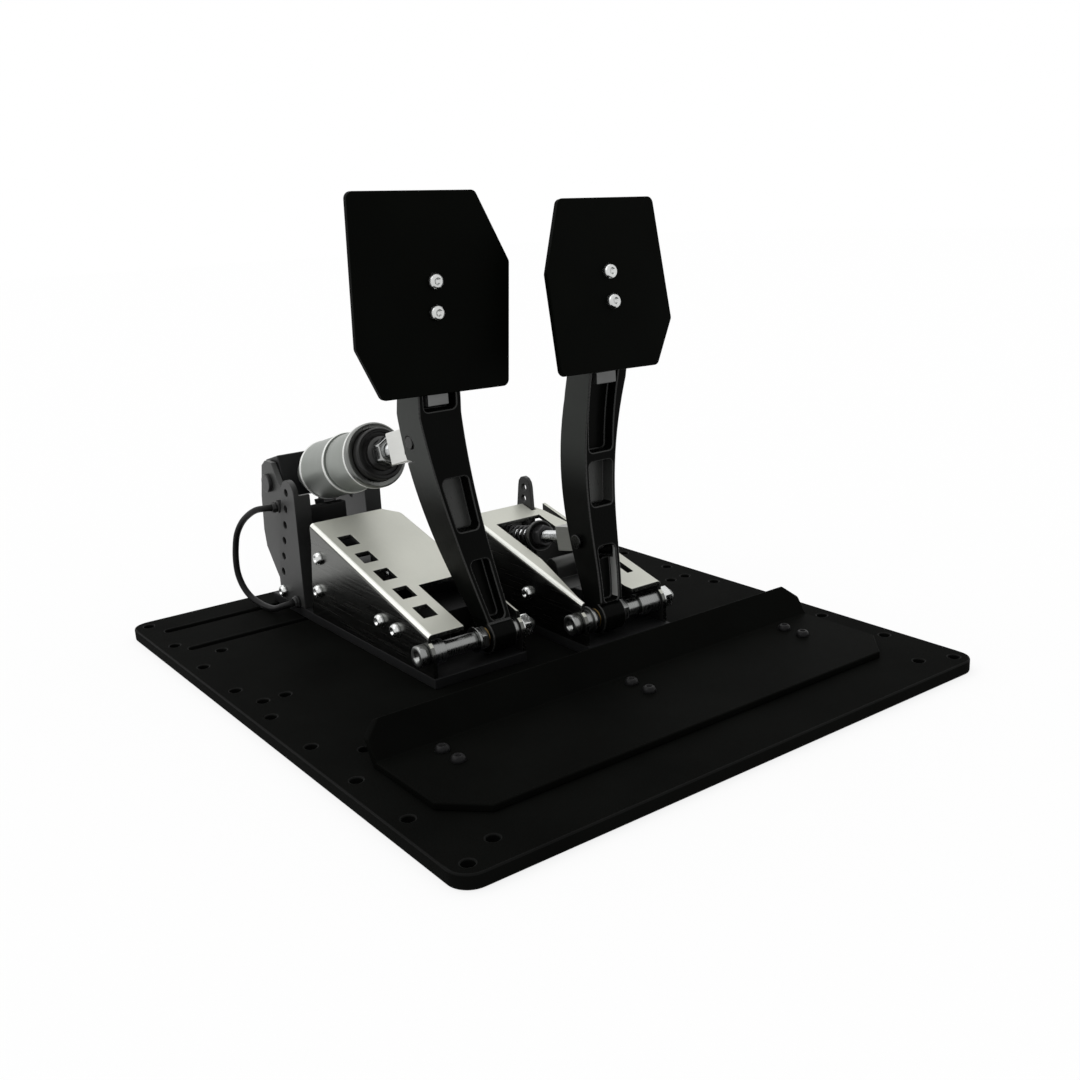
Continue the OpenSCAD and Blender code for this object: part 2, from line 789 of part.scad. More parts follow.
module brake_arm() {
    color("#242526") at_brake() difference() {
        arm_body(brake_front_curve, brake_rear_curve, brake_edges, brake_hub, brake_seat, 32);
        arm_pocket(brake_front_curve, brake_seat, brake_edges, [157, arm_top + 10], 9, arm_wall);
        arm_pocket(brake_front_curve, brake_seat, brake_edges, [84, 116], 9, arm_wall);
        arm_pocket(brake_front_curve, brake_seat, brake_edges, [30, 66], 8, arm_wall);
        translate([brake_line_x, brake_pin[0], brake_pin[1]]) rotate([-brake_line_slope, 0, 0])
            box([-brake_clevis_size / 2 - 0.6, brake_clevis_size / 2 + 0.6], [-brake_clevis_size / 2 - 1, 60],
                [-brake_clevis_size / 2 - 0.8, brake_clevis_size / 2 + 3.5]);
        translate([0, brake_pin[0], brake_pin[1]]) bar_x(clevis_pin_diameter / 2 + running_gap, [-40, 40]);
        translate([0, 0, axle_z]) bar_x(axle_diameter / 2 + bush_wall, [-40, 40]);
    }
}

module throttle_arm() {
    color("#242526") at_throttle() difference() {
        arm_body(throttle_front_curve, throttle_rear_curve, throttle_edges, throttle_hub, 10, 24);
        arm_pocket(throttle_front_curve, 10, throttle_edges, [121, arm_top + 10], 8, 3);
        arm_pocket(throttle_front_curve, 10, throttle_edges, [88, 115], 9, 2.6);
        arm_pocket(throttle_front_curve, 10, throttle_edges, [30, 64], 7, 3);
        translate([throttle_line_x, throttle_pin[0], throttle_pin[1]]) rotate([-throttle_line_slope, 0, 0])
            box([-throttle_clevis[0] / 2 - 0.5, throttle_clevis[0] / 2 + 0.5], [-11.5, 60], [-12, 12]);
        translate([0, throttle_pin[0], throttle_pin[1]]) bar_x(3 + running_gap, [-40, 40]);
        translate([0, 0, axle_z]) bar_x(axle_diameter / 2 + bush_wall, [-40, 40]);
    }
}

module arm_bush(hub) translate([0, 0, axle_z]) difference() {
    bar_x(axle_diameter / 2 + bush_wall, hub);
    bar_x(axle_diameter / 2 + running_gap, [hub[0] - cut, hub[1] + cut]);
}

module brake_bush() color("#a88a4a") at_brake() arm_bush(brake_hub);

module throttle_bush() color("#a88a4a") at_throttle() arm_bush(throttle_hub);

// Faces: a plate with two opposite corners cut off, screwed to a block in the arm

module face_outline(shape, width, height)
    rounded_outline([for (p = shape) [p[0] * width / 2, p[1] * height / 2]], face_corner);

module in_brake_face() at_brake() translate(brake_face_at) rotate(brake_face_turn) children();

module in_throttle_face() at_throttle() translate(throttle_face_at) rotate(throttle_face_turn) children();

module face_screw_places()
    for (z = [-1, 1]) translate([0, 0, z * face_screw_spacing / 2 - face_screw_drop]) children();

module face_screw_holes() face_screw_places() bar_y(face_screw / 2 + bolt_gap, [-cut, 20]);

module face_plate() {
    difference() {
        front_view([0, face_sheet]) children();
        face_screw_holes();
    }
}

module face_screws() face_screw_places() rotate([-90, 0, 0]) button_screw(9.5, face_screw, face_sheet + 7);

module brake_face() {
    color("#1c1d1e") in_brake_face() face_plate()
        face_outline(brake_face_shape, brake_face_width, brake_face_height);
}

module throttle_face() {
    color("#1c1d1e") in_throttle_face() face_plate()
        face_outline(throttle_face_shape, throttle_face_width, throttle_face_height);
}

module brake_face_screws() color("#c6c8ca") in_brake_face() face_screws();

module throttle_face_screws() color("#c6c8ca") in_throttle_face() face_screws();

module brake_face_block() {
    color("#b6b8ba") difference() {
        at_brake() box(brake_block_x, [brake_seat, brake_seat + brake_block_depth],
            [brake_block_low, arm_top - 2]);
        in_brake_face() face_screw_holes();
    }
}

module throttle_face_block() {
    color("#b6b8ba") difference() {
        intersection() {
            at_throttle() side_view(throttle_block_x) polygon(throttle_block_outline);
            in_throttle_face() box([-40, 40], [face_sheet, 60], [-80, 60]);
        }
        in_throttle_face() face_screw_holes();
    }
}

module brake_clevis_pin() {
    left = edge_x(brake_edges[0], brake_edges[1], brake_pin[1]);
    right = edge_x(brake_edges[2], brake_edges[3], brake_pin[1]);
    color("#8d8f91") at_brake() translate([0, brake_pin[0], brake_pin[1]])
        bar_x(clevis_pin_diameter / 2, [left - 0.6, right + 0.6]);
}

module throttle_clevis_pin() {
    left = edge_x(throttle_edges[0], throttle_edges[1], throttle_pin[1]);
    right = edge_x(throttle_edges[2], throttle_edges[3], throttle_pin[1]);
    color("#8d8f91") at_throttle() translate([0, throttle_pin[0], throttle_pin[1]]) {
        bar_x(3, [left - 0.6, right + 0.6]);
        bar_x(4.5, [left - 3, left - 0.6]);
    }
}

// Brake cylinder: turned barrel, front ring and sleeve on one line, pinned at the rear block

module brake_barrel() {
    bore = piston_diameter / 2 + body_gap;
    outer = ring_diameter / 2 - 0.9;
    color("#d0d2d3") on_brake_line() rotate([-90, 0, 0]) rotate_extrude()
        polygon([[bore, ring_rear], [outer - 0.8, ring_rear], [outer - 0.8, barrel_joint - 1.4],
            [outer - 1.8, barrel_joint - 1.4], [outer - 1.8, barrel_joint], [outer - 0.6, barrel_joint],
            [outer, barrel_joint + 0.6], [outer, barrel_rear - 6], [outer - 4, barrel_rear],
            [5.5, barrel_rear], [5.5, barrel_rear - 6], [bore, barrel_rear - 6]]);
}

module brake_front_ring() {
    bore = piston_diameter / 2 + body_gap;
    outer = ring_diameter / 2 + 0.3;
    color("#dcdddd") on_brake_line() rotate([-90, 0, 0]) rotate_extrude()
        polygon([[bore, ring_front], [outer - 1, ring_front], [outer, ring_front + 1], [outer, ring_rear - 0.8],
            [outer - 0.8, ring_rear], [bore, ring_rear]]);
}

module brake_sleeve() {
    outer = sleeve_diameter / 2;
    block = pivot_at - pivot_block_half;
    color("#c3c5c7") on_brake_line() difference() {
        rotate([-90, 0, 0]) rotate_extrude()
            polygon([[5, barrel_rear], [outer - 1, barrel_rear], [outer, barrel_rear + 1],
                [outer, block - 1], [outer - 1, block], [5, block]]);
        translate([0, sensor_at, -outer - 1]) cylinder(d = sensor_stub + 2 * running_gap, h = 5);
    }
}

module brake_pivot_block() {
    reach = half - 2 * upright_sheet - body_gap;
    color("#1f2021") difference() {
        on_brake_line() translate([-brake_line_x, pivot_at, 0])
            box([-reach, reach], [-pivot_block_half, 8], [-13, 17]);
        at_brake() translate([0, pivot_y(), pivot_z()])
            bar_x(pivot_pin_diameter / 2 + running_gap, [-half, half]);
    }
}

module brake_rubber() {
    outer = piston_diameter / 2 - 1;
    front = piston_face + piston_length + rubber_gap;
    step = (barrel_rear - 6 - front) / 4;
    color("#8c2f2a") on_brake_line() rotate([-90, 0, 0]) rotate_extrude()
        polygon(concat([[6, front]], [for (i = [0 : 3]) each [[outer - 1.5, front + step * i],
            [outer, front + step * (i + 0.5)]]], [[outer - 1.5, front + 4 * step], [6, front + 4 * step]]));
}

module pressure_sensor() {
    color("#9b9da0") on_brake_line() translate([0, sensor_at, -sleeve_diameter / 2 - 17]) {
        translate([0, 0, 5]) cylinder(d = 14 / cos(30), h = 8, $fn = 6);
        cylinder(d = 11, h = 5);
        translate([0, 0, 13]) cylinder(d = sensor_stub, h = 6.5);
    }
}

module brake_piston() {
    rod = rod_diameter / 2;
    outer = piston_diameter / 2;
    rear = piston_face + piston_length;
    color("#161617") on_brake_line() rotate([-90, 0, 0]) rotate_extrude()
        polygon([[rod, piston_boss], [rod + 4, piston_boss], [rod + 6, piston_boss + 2], [rod + 6, piston_face],
            [outer - 3, piston_face], [outer - 3, piston_face - 1.5], [outer - 1, piston_face - 1.5],
            [outer, piston_face - 0.5], [outer, rear], [rod, rear]]);
}

module brake_rod() {
    color("#a9abad") on_brake_line()
        bar_y(rod_diameter / 2, [clevis_rear - rod_in_clevis, piston_face + piston_length]);
}

module brake_lock_nut() {
    color("#b9bbbd") on_brake_line() difference() {
        hex_y(17, [brake_nut_start, piston_boss]);
        bar_y(rod_diameter / 2, [brake_nut_start - cut, piston_boss + cut]);
    }
}

module brake_clevis() {
    size = brake_clevis_size / 2;
    color("#d6d7d6") difference() {
        on_brake_line() difference() {
            union() {
                box([-size, size], [0, clevis_rear], [-size, size]);
                bar_x(size, [-size, size]);
            }
            bar_y(rod_diameter / 2, [clevis_rear - rod_in_clevis, clevis_rear + cut]);
        }
        at_brake() translate([0, brake_pin[0], brake_pin[1]])
            bar_x(clevis_pin_diameter / 2 + open_pivot_gap, [-half, half]);
    }
}

// Throttle return: the rod slides in a swivelling guide, with the spring between collar and guide

module throttle_guide_bracket() {
    gap = guide_width + body_gap;
    y = guide_y();
    z = guide_z();
    color("#2b2c2e") at_throttle() difference() {
        union() {
            box([throttle_line_x - gap - 4, throttle_line_x + gap + 4], [y - 10, y + 12], [slab, slab + 4]);
            for (side = [-1, 1])
                side_view([throttle_line_x + side * (gap + 2) - 2, throttle_line_x + side * (gap + 2) + 2]) {
                    translate([y - 9, slab]) square([18, z - slab]);
                    translate([y, z]) circle(9);
                }
        }
        translate([0, y, z]) bar_x(trunnion_diameter / 2 + running_gap, [-60, 60]);
        translate([throttle_line_x - 6, y, 0]) cylinder(d = 5, h = 20);
        translate([throttle_line_x + 6, y, 0]) cylinder(d = 5, h = 20);
    }
}

function guide_y() = throttle_pin[0] + guide_at * cos(throttle_line_slope);

function guide_z() = throttle_pin[1] - guide_at * sin(throttle_line_slope);

module throttle_guide() {
    color("#8f9193") difference() {
        on_throttle_line() {
            box([-guide_width, guide_width], [guide_at - guide_half, guide_at + guide_half], [-7.5, 7.5]);
            translate([0, guide_at, 0]) bar_x(trunnion_diameter / 2, [-guide_width - 4, guide_width + 4]);
        }
        on_throttle_line() bar_y(throttle_rod_diameter / 2 + running_gap, [guide_at - 20, guide_at + 20]);
    }
}

module throttle_rod() {
    color("#b4b6b8") on_throttle_line()
        bar_y(throttle_rod_diameter / 2, [throttle_clevis_rear - 14, throttle_rod_end]);
}

module throttle_collar() {
    bore = throttle_rod_diameter / 2;
    color("#1c1d1e") on_throttle_line() rotate([-90, 0, 0]) rotate_extrude()
        polygon([[bore, throttle_nut_end], [bore + 3, throttle_nut_end], [bore + 3, collar_front],
            [9.4, collar_front - 2], [10.4, collar_front - 2], [10.4, collar_front], [8, collar_rear],
            [bore, collar_rear]]);
}

module throttle_lock_nut() {
    color("#b9bbbd") on_throttle_line() difference() {
        hex_y(13, [throttle_nut_start, throttle_nut_end]);
        bar_y(throttle_rod_diameter / 2, [throttle_nut_start - cut, throttle_nut_end + cut]);
    }
}

module throttle_clevis() {
    w = throttle_clevis[0] / 2;
    h = throttle_clevis[1] / 2;
    color("#d6d7d6") difference() {
        on_throttle_line() difference() {
            union() {
                box([-w, w], [0, throttle_clevis_rear], [-h, h]);
                bar_x(h, [-w, w]);
            }
            bar_y(throttle_rod_diameter / 2, [throttle_clevis_rear - 14, throttle_clevis_rear + cut]);
        }
        at_throttle() translate([0, throttle_pin[0], throttle_pin[1]]) bar_x(3 + open_pivot_gap, [-half, half]);
    }
}

module throttle_rear_tab() {
    x = [tab_x, tab_x + tab_sheet];
    y = tab_front;
    color("#2b2c2e") at_throttle() difference() {
        union() {
            side_view(x) polygon(concat([[y + 12, 60], [y + 12, slab], [y + 1, slab], [y + 1, 20],
                [y - 6, 20], [y - 6, 62]], arc([y + 2, 79], 7, 180, 0)));
            box([tab_x, tab_x + 14], [y + 1, y + 12], [slab, slab + 3]);
        }
        for (place = [[y + 2, 78], [y + 3, 70]])
            translate([0, place[0], place[1]]) bar_x(2.4, [x[0] - cut, x[1] + cut]);
    }
}

module throttle_sensor() {
    color("#202122") at_throttle() difference() {
        box([-14, 0], [19, 26], [bar_low, bar_high]);
        box([-11, -3], [18, 21], [bar_low + 3, bar_high - 3]);
    }
}

// The spring: a straight end at each seat and turns between, as one wire

function spring_at(i) =
    let (angle = 360 * i / spring_rings, along = spring_start + (spring_stop - spring_start) * i / spring_count)
    [spring_radius * cos(angle), along, spring_radius * sin(angle)];

spring_path = concat(
    [[spring_radius, spring_from, 0]],
    [for (i = [0 : spring_count]) spring_at(i)],
    [[spring_at(spring_count)[0], spring_to, spring_at(spring_count)[2]]]);

spring_self_gap = min([for (i = [0 : len(spring_path) - 1], k = [i + spring_rings / 2 : len(spring_path) - 1])
    norm(spring_path[i] - spring_path[k])]) - spring_wire;
echo(spring_self_gap = spring_self_gap);

module throttle_spring() {
    ends = len(spring_path) - 1;
    headings = [for (i = [0 : ends]) i == 0 || i == ends ? [0, 1, 0] : heading(spring_path, i)];
    asides = [for (p = spring_path) [p[0], 0, p[2]]];
    color("#1a1a1b") on_throttle_line() tube(spring_path, headings, asides, spring_wire / 2, 6);
}

base_plate();
heel_rest();
heel_screws();
brake_base();
brake_frame();
brake_front_bar();
brake_rear_bar();
brake_cross_bar();
side_screws();
axles();
axle_nuts();
brake_spacers();
throttle_spacers();
brake_upright_left();
brake_upright_right();
brake_cheek_left();
brake_cheek_right();
brake_pivot_pin();
lead_glands();
sensor_lead();
sensor_box();
frame_bolts();
slot_nuts();
brake_arm();
brake_bush();
brake_face();
brake_face_screws();
brake_face_block();
brake_clevis_pin();
brake_barrel();
brake_front_ring();
brake_sleeve();
brake_pivot_block();
brake_rubber();
pressure_sensor();
brake_piston();
brake_rod();
brake_lock_nut();
brake_clevis();
throttle_base();
throttle_frame();
throttle_front_bar();
throttle_guide_bracket();
throttle_rear_tab();
throttle_sensor();
throttle_arm();
throttle_bush();
throttle_face();
throttle_face_screws();
throttle_face_block();
throttle_clevis_pin();
throttle_guide();
throttle_spring();
throttle_rod();
throttle_collar();
throttle_lock_nut();
throttle_clevis();
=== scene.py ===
import json
import bmesh
import bpy
import numpy as np
from mathutils import Matrix

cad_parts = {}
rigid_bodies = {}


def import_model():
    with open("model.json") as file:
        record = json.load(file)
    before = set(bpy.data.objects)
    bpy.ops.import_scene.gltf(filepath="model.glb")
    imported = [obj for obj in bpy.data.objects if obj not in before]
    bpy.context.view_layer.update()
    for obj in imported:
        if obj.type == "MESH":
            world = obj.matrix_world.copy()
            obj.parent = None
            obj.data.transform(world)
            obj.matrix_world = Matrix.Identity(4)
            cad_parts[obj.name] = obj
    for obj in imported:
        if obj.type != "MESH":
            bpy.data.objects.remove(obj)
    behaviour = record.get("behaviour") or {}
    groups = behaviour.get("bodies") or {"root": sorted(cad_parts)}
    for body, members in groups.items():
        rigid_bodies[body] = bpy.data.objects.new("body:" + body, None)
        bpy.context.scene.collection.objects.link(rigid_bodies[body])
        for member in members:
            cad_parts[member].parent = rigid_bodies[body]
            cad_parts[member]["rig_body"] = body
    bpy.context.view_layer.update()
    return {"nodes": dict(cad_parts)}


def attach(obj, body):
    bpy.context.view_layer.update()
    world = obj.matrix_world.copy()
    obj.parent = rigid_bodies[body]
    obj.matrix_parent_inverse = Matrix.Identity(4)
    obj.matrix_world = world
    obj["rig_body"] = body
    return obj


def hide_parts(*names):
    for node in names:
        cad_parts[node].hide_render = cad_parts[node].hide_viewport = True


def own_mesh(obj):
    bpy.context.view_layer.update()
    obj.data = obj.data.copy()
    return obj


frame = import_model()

solids = frame["nodes"]

# --------------------------------------------------------------------------------------------------
# The studio: a camera left of the plate and a little above it, two wide soft lamps, and a pale
# floor that shades off into a white surround and keeps the shadow under the plate.
# --------------------------------------------------------------------------------------------------
MM = 0.001
scene = bpy.context.scene
scene.view_settings.view_transform = "Standard"

camera_at = np.array([-407.28, -584.58, 279.81]) * MM
camera_right = np.array([0.799880, -0.598563, -0.043743])
camera_up = np.array([0.199868, 0.196947, 0.959825])
camera_ahead = np.array([0.565901, 0.776488, -0.277168])
focal_px, picture_px, sensor_mm = 1182.16, 1080.0, 36.0
lens = bpy.data.cameras.new("view")
lens.sensor_width = sensor_mm
lens.lens = sensor_mm * focal_px / picture_px
lens.clip_start = 0.01
camera = bpy.data.objects.new("view", lens)
camera_turn = np.column_stack([camera_right, camera_up, -camera_ahead, camera_at])
camera.matrix_world = Matrix(camera_turn.tolist() + [[0, 0, 0, 1]])
scene.collection.objects.link(camera)
scene.camera = camera


def unit(vectors):
    """Vectors of length 1 along the given ones."""
    vectors = np.asarray(vectors, float)
    return vectors / np.linalg.norm(vectors, axis=-1, keepdims=True)


def soft_lamp(name, towards, power, spread):
    """A far, wide lamp whose light runs along a direction, spread over an angle in degrees."""
    light = bpy.data.lights.new(name, "SUN")
    light.energy = power
    light.angle = np.radians(spread)
    back = -unit(towards)
    aside = unit(np.cross([0, 0, 1.0], back))
    turn = np.stack([aside, np.cross(back, aside), back], 1)
    lamp = bpy.data.objects.new(name, light)
    lamp.matrix_world = Matrix(turn.tolist()).to_4x4()
    scene.collection.objects.link(lamp)


soft_lamp("lamp_left", (0.7, -0.2, -0.75), 0.7, 50.0)
soft_lamp("lamp_above", (-0.1, -0.45, -1.0), 0.6, 60.0)


def added(tree, kind, **values):
    """A new node of a tree with values on its inputs, where a _ in a name stands for a space."""
    node = tree.nodes.new(kind)
    for name, value in values.items():
        node.inputs[name.replace("_", " ")].default_value = value
    return node


def wire(tree, source, target):
    """One link of a node tree, from an output socket to an input socket."""
    tree.links.new(source, target)


def seen_directly(tree):
    """1 where a ray comes from the camera, a glossy surface or through glass, else 0."""
    path = added(tree, "ShaderNodeLightPath")
    seen = path.outputs["Is Camera Ray"]
    for kind in ("Is Glossy Ray", "Is Transmission Ray"):
        larger = added(tree, "ShaderNodeMath")
        larger.operation = "MAXIMUM"
        wire(tree, seen, larger.inputs[0])
        wire(tree, path.outputs[kind], larger.inputs[1])
        seen = larger.outputs[0]
    return seen


white = (1.0, 1.0, 1.0, 1.0)
surround = bpy.data.worlds.new("white_surround")
surround.use_nodes = True
sky = surround.node_tree
dome = sky.nodes["Background"]
dome.inputs["Color"].default_value = white
level = added(sky, "ShaderNodeMapRange", To_Min=0.7, To_Max=1.0)
wire(sky, seen_directly(sky), level.inputs["Value"])
wire(sky, level.outputs["Result"], dome.inputs["Strength"])
scene.world = surround

floor_half, floor_drop = 6, 0.0004
floor_mesh = bpy.data.meshes.new("floor")
floor_mesh.from_pydata([(x * floor_half, y * floor_half, 0)
                        for x, y in ((-1, -1), (1, -1), (1, 1), (-1, 1))], [], [(0, 1, 2, 3)])
floor_mesh.transform(Matrix.Translation((0, 0, -floor_drop)))
floor = bpy.data.objects.new("floor", floor_mesh)
scene.collection.objects.link(floor)
pale = bpy.data.materials.new("pale_floor")
pale.use_nodes = True
tree = pale.node_tree
tree.nodes.clear()
matt = added(tree, "ShaderNodeBsdfDiffuse", Color=(0.94, 0.94, 0.94, 1.0))
glow = added(tree, "ShaderNodeEmission", Color=white)
share = added(tree, "ShaderNodeMath")
share.operation = "MULTIPLY"
share.inputs[1].default_value = 0.82
mixed = added(tree, "ShaderNodeMixShader")
shown = added(tree, "ShaderNodeOutputMaterial")
wire(tree, seen_directly(tree), share.inputs[0])
wire(tree, share.outputs[0], mixed.inputs["Fac"])
wire(tree, matt.outputs[0], mixed.inputs[1])
wire(tree, glow.outputs[0], mixed.inputs[2])
wire(tree, mixed.outputs[0], shown.inputs["Surface"])
floor_mesh.materials.append(pale)

# --------------------------------------------------------------------------------------------------
# Base plate: an 8 mm steel plate, cut with its holes and slots, edges broken, then powder coated
# black with a fine grain. It lies on the floor and carries both units.
# --------------------------------------------------------------------------------------------------


def finish(name, colour, roughness, metal=0.0, specular=0.5, grain=1500.0, bump=0.1, mottle=0.2,
           drawn=(1.0, 1.0, 1.0), turned=0.0, sway=0.08):
    """A surface on Object coordinates. A fine noise, drawn out along an axis after a turn about X,
    sets the bump and moves the roughness up and down by sway; a broad noise shades the colour by
    mottle."""
    material = bpy.data.materials.new(name)
    material.use_nodes = True
    tree = material.node_tree
    skin = tree.nodes["Principled BSDF"]
    skin.inputs["Metallic"].default_value = metal
    skin.inputs["Specular IOR Level"].default_value = specular
    place = added(tree, "ShaderNodeTexCoord")
    lay = added(tree, "ShaderNodeMapping", Rotation=(np.radians(turned), 0.0, 0.0), Scale=drawn)
    lay.vector_type = "TEXTURE"
    fine = added(tree, "ShaderNodeTexNoise", Scale=grain, Detail=3.0)
    broad = added(tree, "ShaderNodeTexNoise", Scale=22.0, Detail=5.0)
    shade = added(tree, "ShaderNodeValToRGB")
    noise_low, noise_high = 0.3, 0.7
    dark = np.array(colour) * (1.0 - mottle)
    light = np.minimum(np.array(colour) * (1.0 + mottle), 0.95)
    for stop, position, tone in zip(shade.color_ramp.elements, (noise_low, noise_high),
                                    (dark, light)):
        stop.position = position
        stop.color = (*tone.tolist(), 1.0)
    gloss = added(tree, "ShaderNodeMapRange", From_Min=noise_low, From_Max=noise_high,
                  To_Min=max(roughness - sway, 0.03), To_Max=min(roughness + sway, 1.0))
    relief = added(tree, "ShaderNodeBump", Strength=bump, Distance=0.0003)
    wire(tree, place.outputs["Object"], lay.inputs["Vector"])
    wire(tree, lay.outputs["Vector"], fine.inputs["Vector"])
    wire(tree, place.outputs["Object"], broad.inputs["Vector"])
    wire(tree, broad.outputs["Fac"], shade.inputs["Fac"])
    wire(tree, shade.outputs["Color"], skin.inputs["Base Color"])
    wire(tree, fine.outputs["Fac"], gloss.inputs["Value"])
    wire(tree, gloss.outputs["Result"], skin.inputs["Roughness"])
    wire(tree, fine.outputs["Fac"], relief.inputs["Height"])
    wire(tree, relief.outputs["Normal"], skin.inputs["Normal"])
    return material


def stands_for(piece, solid):
    """The piece moves with the solid's body and hides the solid."""
    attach(piece, solids[solid]["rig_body"])
    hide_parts(solid)
    return piece


def placed(name, mesh, material):
    """An object for a mesh, with all its faces smooth and in one finish."""
    mesh.polygons.foreach_set("use_smooth", np.ones(len(mesh.polygons), bool))
    mesh.materials.clear()
    mesh.materials.append(material)
    piece = bpy.data.objects.new(name, mesh)
    scene.collection.objects.link(piece)
    return piece


def broken_edges(solid, width, material, rounds=2, edge_highlight=None):
    """A copy of the solid's mesh: its loose triangles are joined, flat faces are made whole, and
    every edge sharper than 30 degrees is rounded off by the given width in mm. The rounded edges
    may take a lighter finish of their own, a painted highlight."""
    mesh = solids[solid].data.copy()
    work = bmesh.new()
    work.from_mesh(mesh)
    bmesh.ops.remove_doubles(work, verts=work.verts, dist=2e-6)
    bmesh.ops.dissolve_limit(work, angle_limit=np.radians(0.6), verts=work.verts, edges=work.edges)
    work.to_mesh(mesh)
    work.free()
    piece = placed(solid + "_made", mesh, material)
    edge = piece.modifiers.new("edges", "BEVEL")
    edge.width = width * MM
    edge.segments = rounds
    edge.limit_method = "ANGLE"
    edge.angle_limit = np.radians(30.0)
    edge.use_clamp_overlap = False
    if edge_highlight:
        mesh.materials.append(edge_highlight)
        edge.material = 1
    piece.modifiers.new("flat_faces", "WEIGHTED_NORMAL").keep_sharp = True
    return stands_for(piece, solid)


plate_coat = finish("plate_powder_coat", (0.0034, 0.0036, 0.0032), 0.62, specular=0.006,
                    grain=2400.0, bump=0.22)
# The plate's rounded edges take a slightly lighter coat: a painted highlight along its edges.
plate_edge = finish("plate_edge_painted_highlight", (0.0052, 0.0054, 0.005), 0.5, specular=0.03,
                    grain=2400.0, bump=0.15)
broken_edges("base_plate", 0.9, plate_coat, edge_highlight=plate_edge)

# --------------------------------------------------------------------------------------------------
# Heel rest: 4 mm sheet with clipped front corners, folded up along its far side into a lip that
# leans away from the driver. Powder coated like the plate and held by three pairs of black button
# screws.
# --------------------------------------------------------------------------------------------------


def shaped(solid, points, faces, material):
    """A smooth mesh that stands for a solid, from points in mm and faces that are an array or a
    list; points that meet are merged."""
    mesh = bpy.data.meshes.new(solid + "_made")
    corners = np.asarray(points, float).reshape(-1, 3) * MM
    mesh.from_pydata(corners.tolist(), [], faces if isinstance(faces, list) else faces.tolist())
    work = bmesh.new()
    work.from_mesh(mesh)
    bmesh.ops.remove_doubles(work, verts=work.verts, dist=1e-7)
    bmesh.ops.dissolve_degenerate(work, edges=work.edges, dist=1e-8)
    bmesh.ops.recalc_face_normals(work, faces=work.faces)
    work.to_mesh(mesh)
    work.free()
    return stands_for(placed(solid + "_made", mesh, material), solid)


def grid_faces(rows, columns, ring_rows=False):
    """Quads between neighbouring points of a grid whose columns run on from the last to the first;
    the rows may do so too."""
    i = np.arange(rows if ring_rows else rows - 1)[:, None]
    k = np.arange(columns)[None, :]
    i2, k2 = (i + 1) % rows, (k + 1) % columns
    quads = [i * columns + k, i * columns + k2, i2 * columns + k2, i2 * columns + k]
    return np.stack(quads, -1).reshape(-1, 4)


heel_coat = finish("heel_powder_coat", (0.0026, 0.0028, 0.0024), 0.55, specular=0.008,
                   grain=2400.0, bump=0.2)
broken_edges("heel_rest", 0.8, heel_coat)


def standing(axis):
    """Three directions for a turned piece: two across its axis and the axis itself."""
    axis = unit(axis)
    aside = unit(np.cross(axis, [0.0, 0.0, 1.0] if abs(axis[2]) < 0.9 else [0.0, 1.0, 0.0]))
    return aside, np.cross(axis, aside), axis


def hexagon(angle, across):
    """Distance from the centre to a hexagon of that size across its flats, at each angle."""
    return across / 2 / np.cos((angle + np.pi / 6) % (np.pi / 3) - np.pi / 6)


def lathe(stations, radii, at, axis, sides=64, key=None, across=0.0, loop=True):
    """Points of a turned shape: a ring of the given radius at each station along the axis from a
    point. Where key is 1 the ring is no wider than a hexagon of that size across, and where it is
    2 it is that hexagon."""
    angle = np.linspace(0, 2 * np.pi, sides, endpoint=False)[None, :]
    radius = np.repeat(np.array(radii, float)[:, None], sides, 1)
    if key is not None:
        flats = hexagon(angle, across)
        key = np.array(key)[:, None]
        radius = np.where(key == 1, np.minimum(radius, flats), np.where(key == 2, flats, radius))
    aside, over, ahead = standing(axis)
    out = np.cos(angle)[..., None] * aside + np.sin(angle)[..., None] * over
    along = np.array(stations, float)[:, None, None] * ahead
    points = np.array(at, float) + along + radius[..., None] * out
    return points, grid_faces(len(stations), sides, ring_rows=loop)


def gathered(shapes):
    """Several point grids and their faces as one set, with the face numbers moved on."""
    grids = [points.reshape(-1, 3) for points, _ in shapes]
    starts = np.cumsum([0] + [len(grid) for grid in grids[:-1]])
    return (np.concatenate(grids),
            np.concatenate([faces + start for (_, faces), start in zip(shapes, starts)]))


def button_screw(at, out, head, shank, length):
    """A domed head with a hexagon socket. From the socket's floor up its walls, over the dome (a
    quarter ellipse), down the rim to the seat at the given point, and along the shank."""
    height, key = 0.4 * head, 0.45 * head * 0.866
    bottom, mouth, rim = height * 0.45, key * 0.66, 0.3
    sweep = np.linspace(0.12, 1.0, 9) * np.pi / 2
    dome_r = mouth + (head / 2 - mouth) * np.sin(sweep)
    dome_s = rim + (height - rim) * np.cos(sweep)
    stations = np.concatenate([[bottom, bottom, height * 0.97, height], dome_s,
                               [0, 0, 0, -length, -length]])
    radii = np.concatenate([[0, 1, 1, mouth], dome_r,
                            [head / 2, head / 2 - 0.2, shank / 2, shank / 2, 0]])
    keys = np.concatenate([[0, 2, 2, 0], np.zeros(len(sweep) + 5)])
    return lathe(stations, radii, at, out, 48, keys, key, loop=False)


screw_black = finish("blackened_screw", (0.007, 0.007, 0.0072), 0.34, specular=0.1, grain=900.0,
                     bump=0.05)
heel_top = 12.0
heel_screws = [button_screw((x, y, heel_top), (0, 0, 1), head=8.0, shank=4.4, length=10.0)
               for x in (-127.5, 0.0, 127.5) for y in (-108.0, -123.0)]
shaped("heel_screws", *gathered(heel_screws), screw_black)

